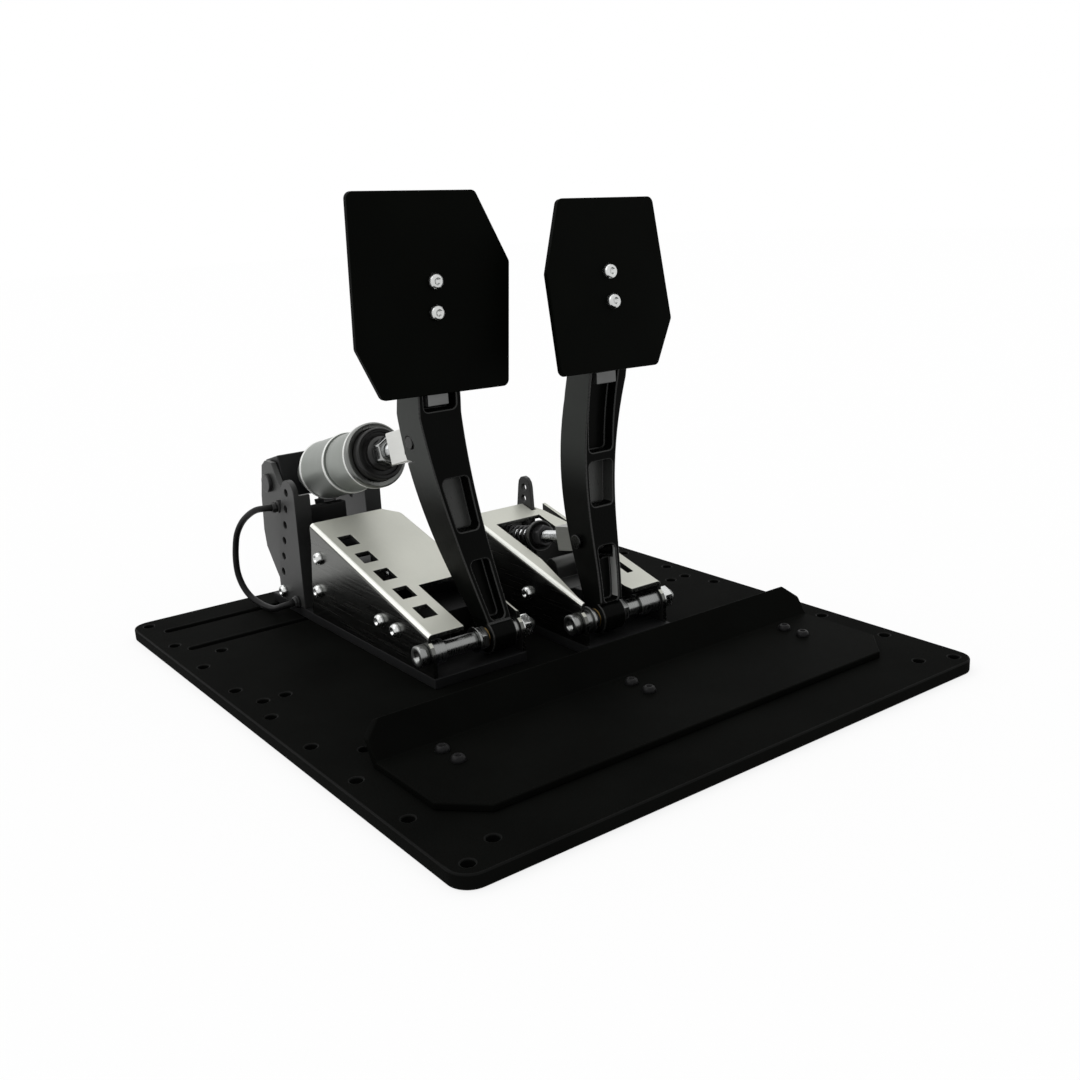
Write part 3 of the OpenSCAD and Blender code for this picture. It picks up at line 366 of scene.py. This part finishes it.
# --------------------------------------------------------------------------------------------------
# Slabs and fixings: a black machined slab lies under each unit. Socket screws go down through it
# and the plate's slots into square nuts in the milled undersides.
# --------------------------------------------------------------------------------------------------
slab_black = finish("slab_anodised", (0.010, 0.0102, 0.0105), 0.42, specular=0.1, grain=1800.0,
                    bump=0.06, drawn=(12.0, 1.0, 1.0))
for solid in ("brake_base", "throttle_base"):
    broken_edges(solid, 0.6, slab_black)
bolt_black = finish("bolt_blackened", (0.035, 0.035, 0.036), 0.36, metal=0.5, specular=0.3,
                    grain=1200.0, bump=0.05)
broken_edges("frame_bolts", 0.35, bolt_black)
nut_zinc = finish("nut_zinc_plated", (0.34, 0.345, 0.34), 0.2, metal=1.0, grain=1400.0, bump=0.03)
broken_edges("slot_nuts", 0.3, nut_zinc)

# --------------------------------------------------------------------------------------------------
# Folded frames: 2.5 mm stainless sheet, cut flat with its windows and holes, folded into a channel
# that slopes down to the axle, brushed along its length and stood on the slab.
# --------------------------------------------------------------------------------------------------
brushed = dict(grain=900.0, drawn=(1.0, 40.0, 1.0), sway=0.05)
# The sides are a darkened stainless, painted shade; the tops take a paler copy, painted light.
stainless = finish("brushed_stainless", (0.12, 0.122, 0.115), 0.24, metal=1.0, bump=0.006,
                   mottle=0.05, **brushed)
stainless_lit_top = finish("brushed_stainless_painted_light_top", (0.53, 0.535, 0.475), 0.42, metal=0.35, bump=0.015,
                       mottle=0.05, **brushed)
# The fold's facets are painted near white: a painted highlight along the fold.
stainless_fold_highlight = finish("brushed_stainless_painted_fold_highlight", (0.86, 0.865, 0.81), 0.36, metal=0.3, bump=0.006,
                        mottle=0.03, **brushed)
# The channel's inner faces are painted near black: painted shade between the sides.
stainless_inside_shade = finish("brushed_stainless_painted_inside_shade", (0.022, 0.0224, 0.021), 0.4, metal=0.6,
                          bump=0.006, mottle=0.05, **brushed)


def face_vectors(mesh, kind):
    """One vector for each face of a mesh: its center or its normal."""
    values = np.empty(len(mesh.polygons) * 3)
    mesh.polygons.foreach_get(kind, values)
    return values.reshape(-1, 3)


def refinished(piece, low, high, looks, material, within=0.6):
    """The faces inside a box, from its low to its high corner in mm, that look along a direction
    take another finish: the cosine between the two is above a limit."""
    mesh = piece.data
    middle, normal = face_vectors(mesh, "center") / MM, face_vectors(mesh, "normal")
    chosen = np.empty(len(mesh.polygons), np.int32)
    mesh.polygons.foreach_get("material_index", chosen)
    inside = ((middle > low) & (middle < high)).all(1) & (normal @ np.array(looks, float) > within)
    if material.name not in mesh.materials:
        mesh.materials.append(material)
    chosen[inside] = mesh.materials.find(material.name)
    mesh.polygons.foreach_set("material_index", chosen)


everywhere = (-200, -200, 0), (200, 200, 300)
inner_half = 31.5
top_slope = np.radians(15.24)
fold_looks = (-0.5, -0.87 * np.sin(top_slope), 0.87 * np.cos(top_slope))
for solid, middle_x in (("brake_frame", -51.0), ("throttle_frame", 46.5)):
    folded = broken_edges(solid, 0.2, stainless)
    # Faces looking up take the paler copy: painted light.
    refinished(folded, *everywhere, (0, 0, 1), stainless_lit_top)
    # The fold's facets take the painted highlight.
    refinished(folded, *everywhere, fold_looks, stainless_fold_highlight, within=0.92)
    # Faces inside the channel take the painted shade.
    for looks in (-1, 1):
        refinished(folded, (middle_x - inner_half, -200, 0), (middle_x + inner_half, 200, 300),
                   (looks, 0, 0), stainless_inside_shade)

# --------------------------------------------------------------------------------------------------
# Cross bars: dark milled bars between the frames' sides, and black cast ones at the brake's front
# and rear, each drilled through for the side screws.
# --------------------------------------------------------------------------------------------------
milled = finish("milled_aluminium", (0.05, 0.051, 0.049), 0.4, metal=0.8, grain=1100.0, bump=0.02,
                mottle=0.1, drawn=(30.0, 1.0, 1.0))
for solid in ("brake_cross_bar", "throttle_front_bar"):
    broken_edges(solid, 0.5, milled)
cast_black = finish("cast_black", (0.006, 0.006, 0.0062), 0.5, specular=0.06, grain=700.0,
                    bump=0.12)
for solid in ("brake_front_bar", "brake_rear_bar"):
    broken_edges(solid, 0.8, cast_black)

# --------------------------------------------------------------------------------------------------
# Side screws: bright button screws, in mirrored pairs, through the frames' and uprights' sides into
# the bars. The two units' places on the plate are set here.
# --------------------------------------------------------------------------------------------------
brake_at = np.array([-51.0, -22.0, 8.0])
throttle_at = np.array([46.5, -42.0, 8.0])
outer_half = 33.0
bright = finish("bright_screw_steel", (0.62, 0.63, 0.62), 0.22, metal=1.0, grain=800.0, bump=0.03,
                mottle=0.08)
side_places = [brake_at + [0, y, z] for y, z in ((50.7, 27.0), (31.5, 26.0), (129.0, 50.0),
                                                 (134.0, 26.0), (191.0, 12.5))]
side_places += [throttle_at + [0, 50.0, 27.0]]
side_screws = [button_screw(place + [side * outer_half, 0, 0], (side, 0, 0), head=9.0, shank=5.0,
                            length=14.0) for place in side_places for side in (-1, 1)]
shaped("side_screws", *gathered(side_screws), bright)

# --------------------------------------------------------------------------------------------------
# Axles: a turned steel pin with a socket head goes through the frame's ears and the arm's hub.
# Turned spacers and a thin nut fill the gaps, and a flanged nut closes the far end.
# --------------------------------------------------------------------------------------------------


def eased(profile, radius):
    """A closed profile of (station, radius) corners with each corner cut back by the given length,
    or by a third of its shorter side, and rounded along a parabola between the two cuts."""
    corner = np.array(profile, float)
    before, after = np.roll(corner, 1, 0) - corner, np.roll(corner, -1, 0) - corner
    to_before = np.linalg.norm(before, axis=1, keepdims=True)
    to_after = np.linalg.norm(after, axis=1, keepdims=True)
    back = np.minimum(radius, np.minimum(to_before, to_after) / 3)
    start, stop = corner + before / to_before * back, corner + after / to_after * back
    line = np.stack([start * (1 - t) ** 2 + corner * 2 * t * (1 - t) + stop * t ** 2
                     for t in (0.0, 0.25, 0.5, 0.75, 1.0)], 1).reshape(-1, 2)
    return line[:, 0], line[:, 1]


def ring(at, axis, outer, bore, start, stop):
    """A turned ring between two stations, with its four edges rounded."""
    profile = [(start, bore), (start, outer), (stop, outer), (stop, bore)]
    return lathe(*eased(profile, 0.4), at, axis)


def nut(at, axis, across, bore, start, stop):
    """A hexagon ring. A cone of 30 degrees at both ends takes its corners off, and its bore is
    countersunk."""
    corner, land, sink = across / np.sqrt(3.0), 0.47 * across, 0.6
    depth = (corner - land) * np.tan(np.radians(30.0))
    cone = np.linspace(0, 1, 6)
    slant = land + (corner - land) * cone
    stations = np.concatenate([[start + sink, start], start + depth * cone,
                               stop - depth * cone[::-1], [stop, stop - sink]])
    radii = np.concatenate([[bore, bore + sink], slant, slant[::-1], [bore + sink, bore]])
    keys = np.concatenate([[0, 0], np.ones(2 * len(cone)), [0, 0]])
    return lathe(stations, radii, at, axis, 96, keys, across)


sideways = (1, 0, 0)
axle_height, axle_bore = 19.3, 4.05


def axle(at):
    """The socket head, its rounded crown, and the shank out to a chamfered end."""
    stations = [-36.0, -36.0, -38.4, -39.0, -39.0, -38.7, -38.2, -33.4, -33.0, -33.0, 44.2, 45.0,
                45.0]
    radii = [0, 1, 1, 3.6, 5.6, 6.2, 6.5, 6.5, 6.2, 4.0, 4.0, 3.2, 0]
    keys = [0, 2, 2] + [0] * 10
    return lathe(stations, radii, at, sideways, 48, keys, 5.2, loop=False)


def threaded_on(at, stack):
    """The rings and nuts of a stack on an axle: each has its size across or its outer radius, and
    the two stations that it lies between."""
    return gathered([make(at, sideways, size, axle_bore, start, stop)
                     for make, size, start, stop in stack])


brake_axle = brake_at + [0, 0, axle_height]
throttle_axle = throttle_at + [0, 0, axle_height]
axle_steel = finish("axle_steel", (0.24, 0.245, 0.24), 0.28, metal=1.0, grain=700.0, bump=0.03,
                    mottle=0.08, drawn=(0.3, 30.0, 30.0))
shaped("axles", *gathered([axle(brake_axle), axle(throttle_axle)]), axle_steel)
far_end = [(ring, 8.0, 33.0, 34.6), (nut, 13.0, 34.6, 41.0)]
shaped("axle_nuts", *gathered([threaded_on(at, far_end) for at in (brake_axle, throttle_axle)]),
       bright)
brake_stack = [(ring, 7.5, -30.5, -22.0), (ring, 5.25, -21.95, 1.4), (ring, 8.0, 1.45, 3.0),
               (nut, 13.0, 3.05, 8.6), (ring, 7.5, 26.4, 30.5)]
shaped("brake_spacers", *threaded_on(brake_axle, brake_stack), axle_steel)
throttle_stack = [(ring, 7.0, -30.5, -25.0), (ring, 8.5, -24.95, -23.0), (ring, 6.0, -22.95, -19.4),
                  (nut, 13.0, -1.6, 4.5), (ring, 5.5, 4.55, 14.5), (ring, 7.25, 14.55, 30.5)]
shaped("throttle_spacers", *threaded_on(throttle_axle, throttle_stack), axle_steel)

# --------------------------------------------------------------------------------------------------
# Rear bracket of the brake: two folded uprights with a column of height holes and two cheeks inside
# them, of dark coated sheet, screwed to a bar and joined by the pivot pin.
# --------------------------------------------------------------------------------------------------
bracket_grey = finish("bracket_coat", (0.022, 0.0225, 0.022), 0.42, specular=0.35, grain=2000.0,
                      bump=0.12)
for solid in ("brake_upright_left", "brake_upright_right"):
    broken_edges(solid, 0.5, bracket_grey)
cheek_grey = finish("cheek_coat", (0.026, 0.027, 0.026), 0.4, specular=0.3, grain=2000.0, bump=0.1)
for solid in ("brake_cheek_left", "brake_cheek_right"):
    broken_edges(solid, 0.5, cheek_grey)
broken_edges("brake_pivot_pin", 0.6, bolt_black)

# --------------------------------------------------------------------------------------------------
# Sensor lead: a black sheathed cable, 4.5 mm thick, that leaves a gland in the left cheek, hangs in
# one loop behind the upright, lies along the slab and goes into a second gland at the upright's
# foot.
# --------------------------------------------------------------------------------------------------
lead_diameter = 4.5
lead_route = brake_at + np.array([
    [-31, 190, 74], [-36, 190, 74], [-41, 192, 74], [-44, 200, 72], [-46, 210, 67], [-48, 219, 60],
    [-50, 225, 51], [-51, 228, 41], [-52, 228, 31], [-52, 227, 21], [-51, 222, 12], [-49, 214, 5.5],
    [-47, 204, 2.8], [-46, 194, 2.5], [-45, 184, 3.6], [-43, 175, 7], [-40, 170.5, 9],
    [-36, 170, 9.5], [-32, 170, 9.5]], float)


def smooth_route(points, steps):
    """A curve through the points: between two of them, a cubic whose slope at each is half the step
    from the point before it to the point after it."""
    padded = np.concatenate([2 * points[:1] - points[1:2], points, 2 * points[-1:] - points[-2:-1]])
    t = np.linspace(0, 1, steps, endpoint=False)[None, :, None]
    p0, p1, p2, p3 = (padded[i:len(padded) - 3 + i, None, :] for i in range(4))
    curve = p1 + 0.5 * t * (p2 - p0 + t * (2 * p0 - 5 * p1 + 4 * p2 - p3
                                           + t * (3 * (p1 - p2) + p3 - p0)))
    return np.concatenate([curve.reshape(-1, 3), points[-1:]])


def tube(route, radius, sides, aside):
    """A round section carried along a route: each ring lies across the route's direction and starts
    on the side given for it. Both ends close on their centres."""
    over = np.cross(unit(np.gradient(route, axis=0)), aside)
    angle = np.linspace(0, 2 * np.pi, sides, endpoint=False)[None, :, None]
    out = np.cos(angle) * aside[:, None] + np.sin(angle) * over[:, None]
    ends = np.repeat(route[[0, -1], None], sides, 1)
    return (np.concatenate([ends[:1], route[:, None] + radius * out, ends[1:]]),
            grid_faces(len(route) + 2, sides))


lead_line = smooth_route(lead_route, 6)
lead_aside = unit(np.cross(np.gradient(lead_line, axis=0), (1.0, 0.0, 1.0)))
lead_sheath = finish("lead_sheath", (0.006, 0.006, 0.0062), 0.45, specular=0.12, grain=2500.0,
                     bump=0.08)
lead = shaped("sensor_lead", *tube(lead_line, lead_diameter / 2, 20, lead_aside), lead_sheath)
moulded = finish("moulded_black_plastic", (0.009, 0.009, 0.0092), 0.38, specular=0.3, grain=1600.0,
                 bump=0.1)


def gland(at, start, stop):
    """A moulded gland: a flange against the sheet, a grooved neck and a rounded mouth that tapers
    to the lead."""
    span, bore, flange = stop - start, 2.4, 4.5
    profile = [(start, bore), (start, 3.2), (start + 0.3 * span, 3.9), (start + 0.36 * span, 3.5),
               (start + 0.46 * span, 3.5), (start + 0.52 * span, flange), (stop, flange),
               (stop, bore)]
    return lathe(*eased(profile, 0.3), at, sideways, 48)


glands = [gland(brake_at + [0, 190, 74], -37.0, -29.0),
          gland(brake_at + [0, 170, 9.5], -37.0, -33.0)]
shaped("lead_glands", *gathered(glands), moulded)
broken_edges("sensor_box", 0.8, moulded)

# --------------------------------------------------------------------------------------------------
# Brake cylinder: a turned barrel in two steps with a rim at the joint, a front ring and a rear
# sleeve, all silver anodised. A black block at its rear turns on the pivot pin, and a pressure
# sensor hangs below.
# --------------------------------------------------------------------------------------------------
line_slope = np.radians(16.0)
brake_line = np.array([-50.0, 14.0, 145.0])
brake_along = np.array([0.0, np.cos(line_slope), -np.sin(line_slope)])
turned_look = dict(drawn=(60.0, 1.0, 60.0), turned=-16.0)
anodised_look = dict(grain=2600.0, bump=0.012, mottle=0.05, sway=0.05, **turned_look)
silver = finish("silver_anodised", (0.27, 0.285, 0.265), 0.42, metal=0.6, **anodised_look)
# The raised rims are painted pale all round: a painted highlight along them.
rim_highlight = finish("rim_painted_highlight", (0.74, 0.75, 0.725), 0.38, metal=0.35, **anodised_look)
ring_silver = finish("ring_turned", (0.16, 0.165, 0.157), 0.3, metal=0.95, **anodised_look)


def rim_finished(piece, line, along, radius, material, first=0.0):
    """The faces that lie further than a radius in mm from a line, and beyond a station on it, take
    another finish."""
    mesh = piece.data
    from_line = face_vectors(mesh, "center") / MM - line
    off_line = from_line - (from_line @ along)[:, None] * along
    mesh.materials.append(material)
    outside = (np.linalg.norm(off_line, axis=1) > radius) & (from_line @ along > first)
    mesh.polygons.foreach_set("material_index", outside.astype(np.int32))


barrel = eased([(75.2, 17.4), (75.2, 19.3), (104.6, 19.3), (104.6, 18.3), (106.0, 18.3),
                (106.0, 20.0), (106.5, 20.6), (108.2, 20.6), (108.6, 20.1), (143.4, 20.1),
                (143.8, 20.6), (145.6, 20.6), (146.4, 20.0), (152.4, 16.1), (152.4, 5.5),
                (146.4, 5.5), (146.4, 17.4)], 0.35)
barrel_piece = shaped("brake_barrel", *lathe(*barrel, brake_line, brake_along, 96), silver)
rim_finished(barrel_piece, brake_line, brake_along, 20.2, rim_highlight)
front_ring = eased([(67.7, 17.4), (67.7, 20.3), (68.7, 21.3), (72.0, 21.3), (72.3, 20.9),
                    (72.8, 20.9), (73.1, 21.3), (74.4, 21.3), (75.2, 20.5), (75.2, 17.4)], 0.3)
ring_piece = shaped("brake_front_ring", *lathe(*front_ring, brake_line, brake_along, 96),
                    ring_silver)
rim_finished(ring_piece, brake_line, brake_along, 20.95, rim_highlight, first=72.7)
sleeve = eased([(152.4, 5.0), (152.4, 13.0), (153.4, 14.0), (155.6, 14.0), (156.0, 13.5),
                (156.8, 13.5), (157.2, 14.0), (163.9, 14.0), (164.9, 13.0), (164.9, 5.0)], 0.3)
shaped("brake_sleeve", *lathe(*sleeve, brake_line, brake_along, 80), silver)
block_black = finish("block_anodised", (0.009, 0.0092, 0.0095), 0.4, specular=0.2, grain=1500.0,
                     bump=0.06, drawn=(14.0, 1.0, 1.0))
broken_edges("brake_pivot_block", 0.9, block_black)
sensor_steel = finish("sensor_steel", (0.09, 0.092, 0.092), 0.36, metal=1.0, grain=1000.0,
                      bump=0.04)
broken_edges("pressure_sensor", 0.4, sensor_steel)

# --------------------------------------------------------------------------------------------------
# Brake rubber: a red moulded buffer of four ribs inside the barrel, which the piston squeezes
# against the barrel's rear wall as the pedal goes down.
# --------------------------------------------------------------------------------------------------
buffer_rubber = finish("buffer_rubber", (0.26, 0.03, 0.024), 0.55, specular=0.3, grain=1200.0,
                       bump=0.12)
rubber_front, rubber_rear, rubber_bore, ribs = 84.7, 146.4, 6.0, 4
rubber_length, brake_stroke = 61.7, 17.3
rib_s = np.linspace(rubber_front, rubber_rear, 97)
rib_wave = np.abs(np.sin(np.pi * (rib_s - rubber_front) / (rubber_length / ribs)))
rib_r = 14.5 + 1.5 * rib_wave ** 0.6
rubber_shape = lathe(np.concatenate([[rubber_front], rib_s, [rubber_rear]]),
                     np.concatenate([[rubber_bore], rib_r, [rubber_bore]]), brake_line, brake_along)
rubber = shaped("brake_rubber", *rubber_shape, buffer_rubber)
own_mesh(rubber)

# --------------------------------------------------------------------------------------------------
# Brake push rod: a black turned piston with a stepped face on a steel rod, a lock nut, and a pale
# milled clevis block whose rounded nose turns on the arm's pin.
# --------------------------------------------------------------------------------------------------
piston_black = finish("piston_anodised", (0.009, 0.009, 0.0085), 0.36, specular=0.3, grain=2400.0,
                      bump=0.05, **turned_look)
piston = eased([(57.0, 5.0), (57.0, 9.0), (59.0, 11.0), (62.5, 11.0), (62.5, 14.0), (61.0, 14.0),
                (61.0, 16.0), (62.0, 17.0), (83.7, 17.0), (83.7, 5.0)], 0.4)
shaped("brake_piston", *lathe(*piston, brake_line, brake_along, 96), piston_black)
rod_steel = finish("rod_steel", (0.5, 0.51, 0.51), 0.24, metal=1.0, grain=1800.0, bump=0.05,
                   drawn=(40.0, 1.0, 40.0), turned=-16.0)
thread_pitch = 1.25


def threaded_rod(at, axis, radius, start, stop):
    """A rod whose radius falls and rises once a pitch, as a cut thread does, with chamfered
    ends."""
    s = np.linspace(start + 1, stop - 1, int((stop - start) / thread_pitch * 6))
    r = radius - 0.32 * thread_pitch * np.abs((s / thread_pitch) % 1.0 * 2 - 1)
    return lathe(np.concatenate([[start, start], s, [stop, stop]]),
                 np.concatenate([[0, radius - 1], r, [radius - 1, 0]]), at, axis, 48, loop=False)


shaped("brake_rod", *threaded_rod(brake_line, brake_along, 5.0, 18.0, 83.7), rod_steel)
shaped("brake_lock_nut", *nut(brake_line, brake_along, 17.0, 5.0, 47.0, 57.0), nut_zinc)
clevis_pale = finish("clevis_milled", (0.68, 0.685, 0.66), 0.4, metal=0.75, grain=1500.0, bump=0.06,
                     mottle=0.06, drawn=(1.0, 25.0, 1.0), turned=-16.0)
broken_edges("brake_clevis", 0.8, clevis_pale)

# --------------------------------------------------------------------------------------------------
# Brake arm: milled from a bar, curved, pocketed from the front and bored for a bronze bush and the
# clevis pin, then black anodised; its broken edges are painted lighter, a painted highlight.
# --------------------------------------------------------------------------------------------------
arm_black = finish("arm_anodised", (0.002, 0.0022, 0.0019), 0.27, specular=0.03, grain=1400.0,
                   bump=0.05, drawn=(1.0, 1.0, 10.0))
# The arms' rounded edges are painted a little lighter: a painted highlight.
arm_edge = finish("arm_edge_painted_highlight", (0.017, 0.0175, 0.0165), 0.28, specular=0.25, grain=900.0,
                  bump=0.05)
# Pocket faces looking front or left are painted lighter grey: painted sheen in the pockets.
arm_pocket = finish("arm_pocket_painted_sheen", (0.04, 0.041, 0.039), 0.34, metal=0.2, specular=0.3,
                    grain=1200.0, bump=0.06, drawn=(1.0, 1.0, 14.0))
# The lower pocket's left-facing walls are painted bright: a painted highlight.
arm_wall_highlight = finish("arm_wall_painted_highlight", (0.42, 0.425, 0.41), 0.36, metal=0.1, grain=1200.0, bump=0.05,
                   drawn=(1.0, 1.0, 14.0))
arm_lit_side = finish("arm_left_side_painted_light", (0.003, 0.0033, 0.0029), 0.36, specular=0.05, grain=1400.0,
                  bump=0.05, drawn=(1.0, 1.0, 10.0))


def painted_light_upwards(material, colour, low, high):
    """Another colour, painted light, takes over from a finish's own between two heights in mm, by a
    smooth step."""
    tree = material.node_tree
    skin = tree.nodes["Principled BSDF"]
    shade = skin.inputs["Base Color"].links[0].from_socket
    place = added(tree, "ShaderNodeTexCoord")
    parts = added(tree, "ShaderNodeSeparateXYZ")
    rise = added(tree, "ShaderNodeMapRange", From_Min=low * MM, From_Max=high * MM)
    rise.interpolation_type = "SMOOTHSTEP"
    both = added(tree, "ShaderNodeMixRGB", Color2=(*colour, 1.0))
    wire(tree, place.outputs["Object"], parts.inputs["Vector"])
    wire(tree, parts.outputs["Z"], rise.inputs["Value"])
    wire(tree, rise.outputs["Result"], both.inputs["Fac"])
    wire(tree, shade, both.inputs["Color1"])
    wire(tree, both.outputs["Color"], skin.inputs["Base Color"])


# The arms' left sides grow paler towards the top: painted light falling from the left.
painted_light_upwards(arm_lit_side, (0.045, 0.048, 0.045), 100.0, 138.0)
frontwards, leftwards = (0, -1, 0), (-1, 0, 0)
brake_arm = broken_edges("brake_arm", 0.8, arm_black, rounds=3, edge_highlight=arm_edge)
refinished(brake_arm, (-52, -4, 93), (-34, 200, 123), frontwards, arm_pocket)
refinished(brake_arm, (-70, -200, 30), (-50, 200, 260), leftwards, arm_lit_side)
bronze = finish("sintered_bronze", (0.38, 0.25, 0.09), 0.4, metal=1.0, grain=2500.0, bump=0.1)
broken_edges("brake_bush", 0.3, bronze)
pin_steel = finish("pin_steel", (0.04, 0.041, 0.04), 0.26, metal=1.0, grain=900.0, bump=0.03)
broken_edges("brake_clevis_pin", 0.5, pin_steel)

# --------------------------------------------------------------------------------------------------
# Faces: 4 mm plates with clipped corners, edges rounded over and satin coated. Two bright button
# screws hold each one to an aluminium block in the arm's head.
# --------------------------------------------------------------------------------------------------


def face_plate(shape, width, height, corner, sheet):
    """The outline is the clipped shape with rounded corners. The sheet's edges are quarter rounds
    of 0.7 mm carried round that outline, and the flat front and back close it."""
    points = np.array(shape, float) * [width / 2, height / 2]
    before = unit(np.roll(points, 1, 0) - points)
    after = unit(np.roll(points, -1, 0) - points)
    cosine = (before * after).sum(1)[:, None]
    half = np.arccos(np.clip(cosine, -1, 1)) / 2
    centre = points + unit(before + after) * corner / np.sin(half)
    first, last = (np.arctan2(-side[:, 1], -side[:, 0])[:, None]
                   for side in (after - before * cosine, before - after * cosine))
    steps = 9
    sweep = (last - first + np.pi) % (2 * np.pi) - np.pi
    angle = first + sweep * np.linspace(0, 1, steps)[None, :]
    normal = np.stack([np.cos(angle), np.sin(angle)], -1).reshape(-1, 2)
    outline = np.repeat(centre, steps, 0) + corner * normal
    turn = np.linspace(0, np.pi / 2, 5)
    edge = 0.7
    inset = edge * np.concatenate([1 - np.sin(turn), 1 - np.cos(turn)])
    depth = np.concatenate([edge * (1 - np.cos(turn)), sheet - edge * (1 - np.sin(turn))])
    flat = outline[None] - inset[:, None, None] * normal[None]
    count = len(outline)
    rings = np.stack([flat[..., 0], np.repeat(depth[:, None], count, 1), flat[..., 1]], -1)
    sides = grid_faces(len(depth), count).tolist()
    ends = [list(range(count)), list(range((len(depth) - 1) * count, len(depth) * count))]
    return rings.reshape(-1, 3), sides + ends


def turned_by(points, turn, at):
    """The points turned about X, then about Y, by angles in degrees, and moved."""
    a, b = np.radians(turn)
    about_x = np.array([[1, 0, 0], [0, np.cos(a), -np.sin(a)], [0, np.sin(a), np.cos(a)]])
    about_y = np.array([[np.cos(b), 0, np.sin(b)], [0, 1, 0], [-np.sin(b), 0, np.cos(b)]])
    return np.asarray(points, float) @ (about_y @ about_x).T + at


face_black = finish("face_satin_coat", (0.0014, 0.0017, 0.0012), 0.4, specular=0.02, grain=2600.0,
                    bump=0.1)
block_pale = finish("face_block_milled", (0.13, 0.132, 0.13), 0.36, metal=0.7, grain=1200.0,
                    bump=0.06, drawn=(25.0, 1.0, 1.0))
face_forms = {
    "brake": ([[-1, 1], [0.57, 1], [1, 0.29], [0.94, -1], [-0.72, -1], [-1, -0.48]],
              103.0, 112.0, (0.0, 1.2), brake_at + [-1.9, 12.3, 223.0]),
    "throttle": ([[-0.67, 1], [0.91, 1], [1, -0.46], [0.66, -1], [-0.98, -1], [-1, 0.17]],
                 90.0, 100.0, (-10.0, 1.0), throttle_at + [1.9, 1.0, 221.9])}
for side, (shape, width, height, turn, at) in face_forms.items():
    points, plate_faces = face_plate(shape, width, height, corner=4.0, sheet=4.0)
    face = shaped(side + "_face", turned_by(points, turn, at), plate_faces, face_black)
    face.modifiers.new("flat_faces", "WEIGHTED_NORMAL").keep_sharp = True
    screws, screw_faces = gathered([
        button_screw((0, 0, z), frontwards, head=9.5, shank=5.0, length=11.0)
        for z in (-10.15, 7.15)])
    shaped(side + "_face_screws", turned_by(screws, turn, at), screw_faces, bright)
    broken_edges(side + "_face_block", 0.5, block_pale)

# --------------------------------------------------------------------------------------------------
# Throttle return: a swivelling guide between two bracket plates takes the rod. A black coil spring
# stands between it and the cup collar, a lock nut and a grey clevis follow.
# --------------------------------------------------------------------------------------------------
throttle_slope = np.radians(10.0)
throttle_line = np.array([39.7, -26.0, 73.5])
throttle_along = np.array([0.0, np.cos(throttle_slope), -np.sin(throttle_slope)])
broken_edges("throttle_guide_bracket", 0.5, bracket_grey)
broken_edges("throttle_guide", 0.6, milled)
broken_edges("throttle_rear_tab", 0.5, bracket_grey)
broken_edges("throttle_sensor", 0.7, moulded)
shaped("throttle_rod", *threaded_rod(throttle_line, throttle_along, 4.0, 15.0, 108.0), rod_steel)
collar = eased([(54.0, 4.0), (54.0, 7.0), (56.0, 7.0), (54.0, 9.4), (54.0, 10.4), (56.0, 10.4),
                (61.0, 8.0), (61.0, 4.0)], 0.4)
collar_piece = shaped("throttle_collar", *lathe(*collar, throttle_line, throttle_along, 80),
                      piston_black)
rim_finished(collar_piece, throttle_line, throttle_along, 9.6, milled)
shaped("throttle_lock_nut", *nut(throttle_line, throttle_along, 13.0, 4.0, 48.0, 54.0), bolt_black)
clevis_grey = finish("clevis_grey_milled", (0.3, 0.303, 0.292), 0.4, metal=0.75, grain=1500.0,
                     bump=0.04, mottle=0.06, drawn=(1.0, 25.0, 1.0), turned=-10.0)
broken_edges("throttle_clevis", 0.6, clevis_grey)


def coil(at, axis, start, stop, radius, wire_radius, turns):
    """One wire on a helix: at each end 0.8 of a turn lies closed, where the pitch is about one
    wire, the pitch between them is even, and the angle grows evenly. The wire's section is a circle
    across the helix, closed at both ends."""
    closed = 0.8
    t = np.linspace(0, 1, int(turns * 40) + 1)
    shut, climb = closed / turns, closed * 2 * wire_radius * 1.02
    low, high = start + wire_radius, stop - wire_radius
    s = np.interp(t, [0, shut, 1 - shut, 1], [low, low + climb, high - climb, high])
    angle = 2 * np.pi * turns * t
    aside, over, ahead = standing(axis)
    out = np.cos(angle)[:, None] * aside + np.sin(angle)[:, None] * over
    return tube(np.array(at) + s[:, None] * ahead + radius * out, wire_radius, 12, out)


spring_black = finish("spring_black", (0.012, 0.012, 0.0125), 0.3, metal=0.3, specular=0.5,
                      grain=900.0, bump=0.05)
spring_front, spring_rear = 61.3, 91.0
spring_shape = coil(throttle_line, throttle_along, spring_front, spring_rear, radius=5.9,
                    wire_radius=0.9, turns=6.5)
spring = shaped("throttle_spring", *spring_shape, spring_black)
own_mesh(spring)

# --------------------------------------------------------------------------------------------------
# Throttle arm: milled and anodised like the brake's, slimmer, with a row of narrow pockets, a
# bronze bush in its hub and a headed pin for the clevis.
# --------------------------------------------------------------------------------------------------
throttle_arm = broken_edges("throttle_arm", 0.8, arm_black, rounds=3, edge_highlight=arm_edge)
# The pockets' front and left faces take the painted sheen.
refinished(throttle_arm, (34, -29, 97), (54, 200, 122), frontwards, arm_pocket)
refinished(throttle_arm, (34, -200, 97), (58, 200, 122), leftwards, arm_pocket)
# The lower pocket's left walls take the painted highlight.
refinished(throttle_arm, (32, -200, 40), (46, 200, 71), leftwards, arm_wall_highlight)
# The left side takes the painted light that grows towards the top.
refinished(throttle_arm, (20, -200, 25), (40, 200, 260), leftwards, arm_lit_side)
broken_edges("throttle_bush", 0.3, bronze)
broken_edges("throttle_clevis_pin", 0.5, pin_steel)
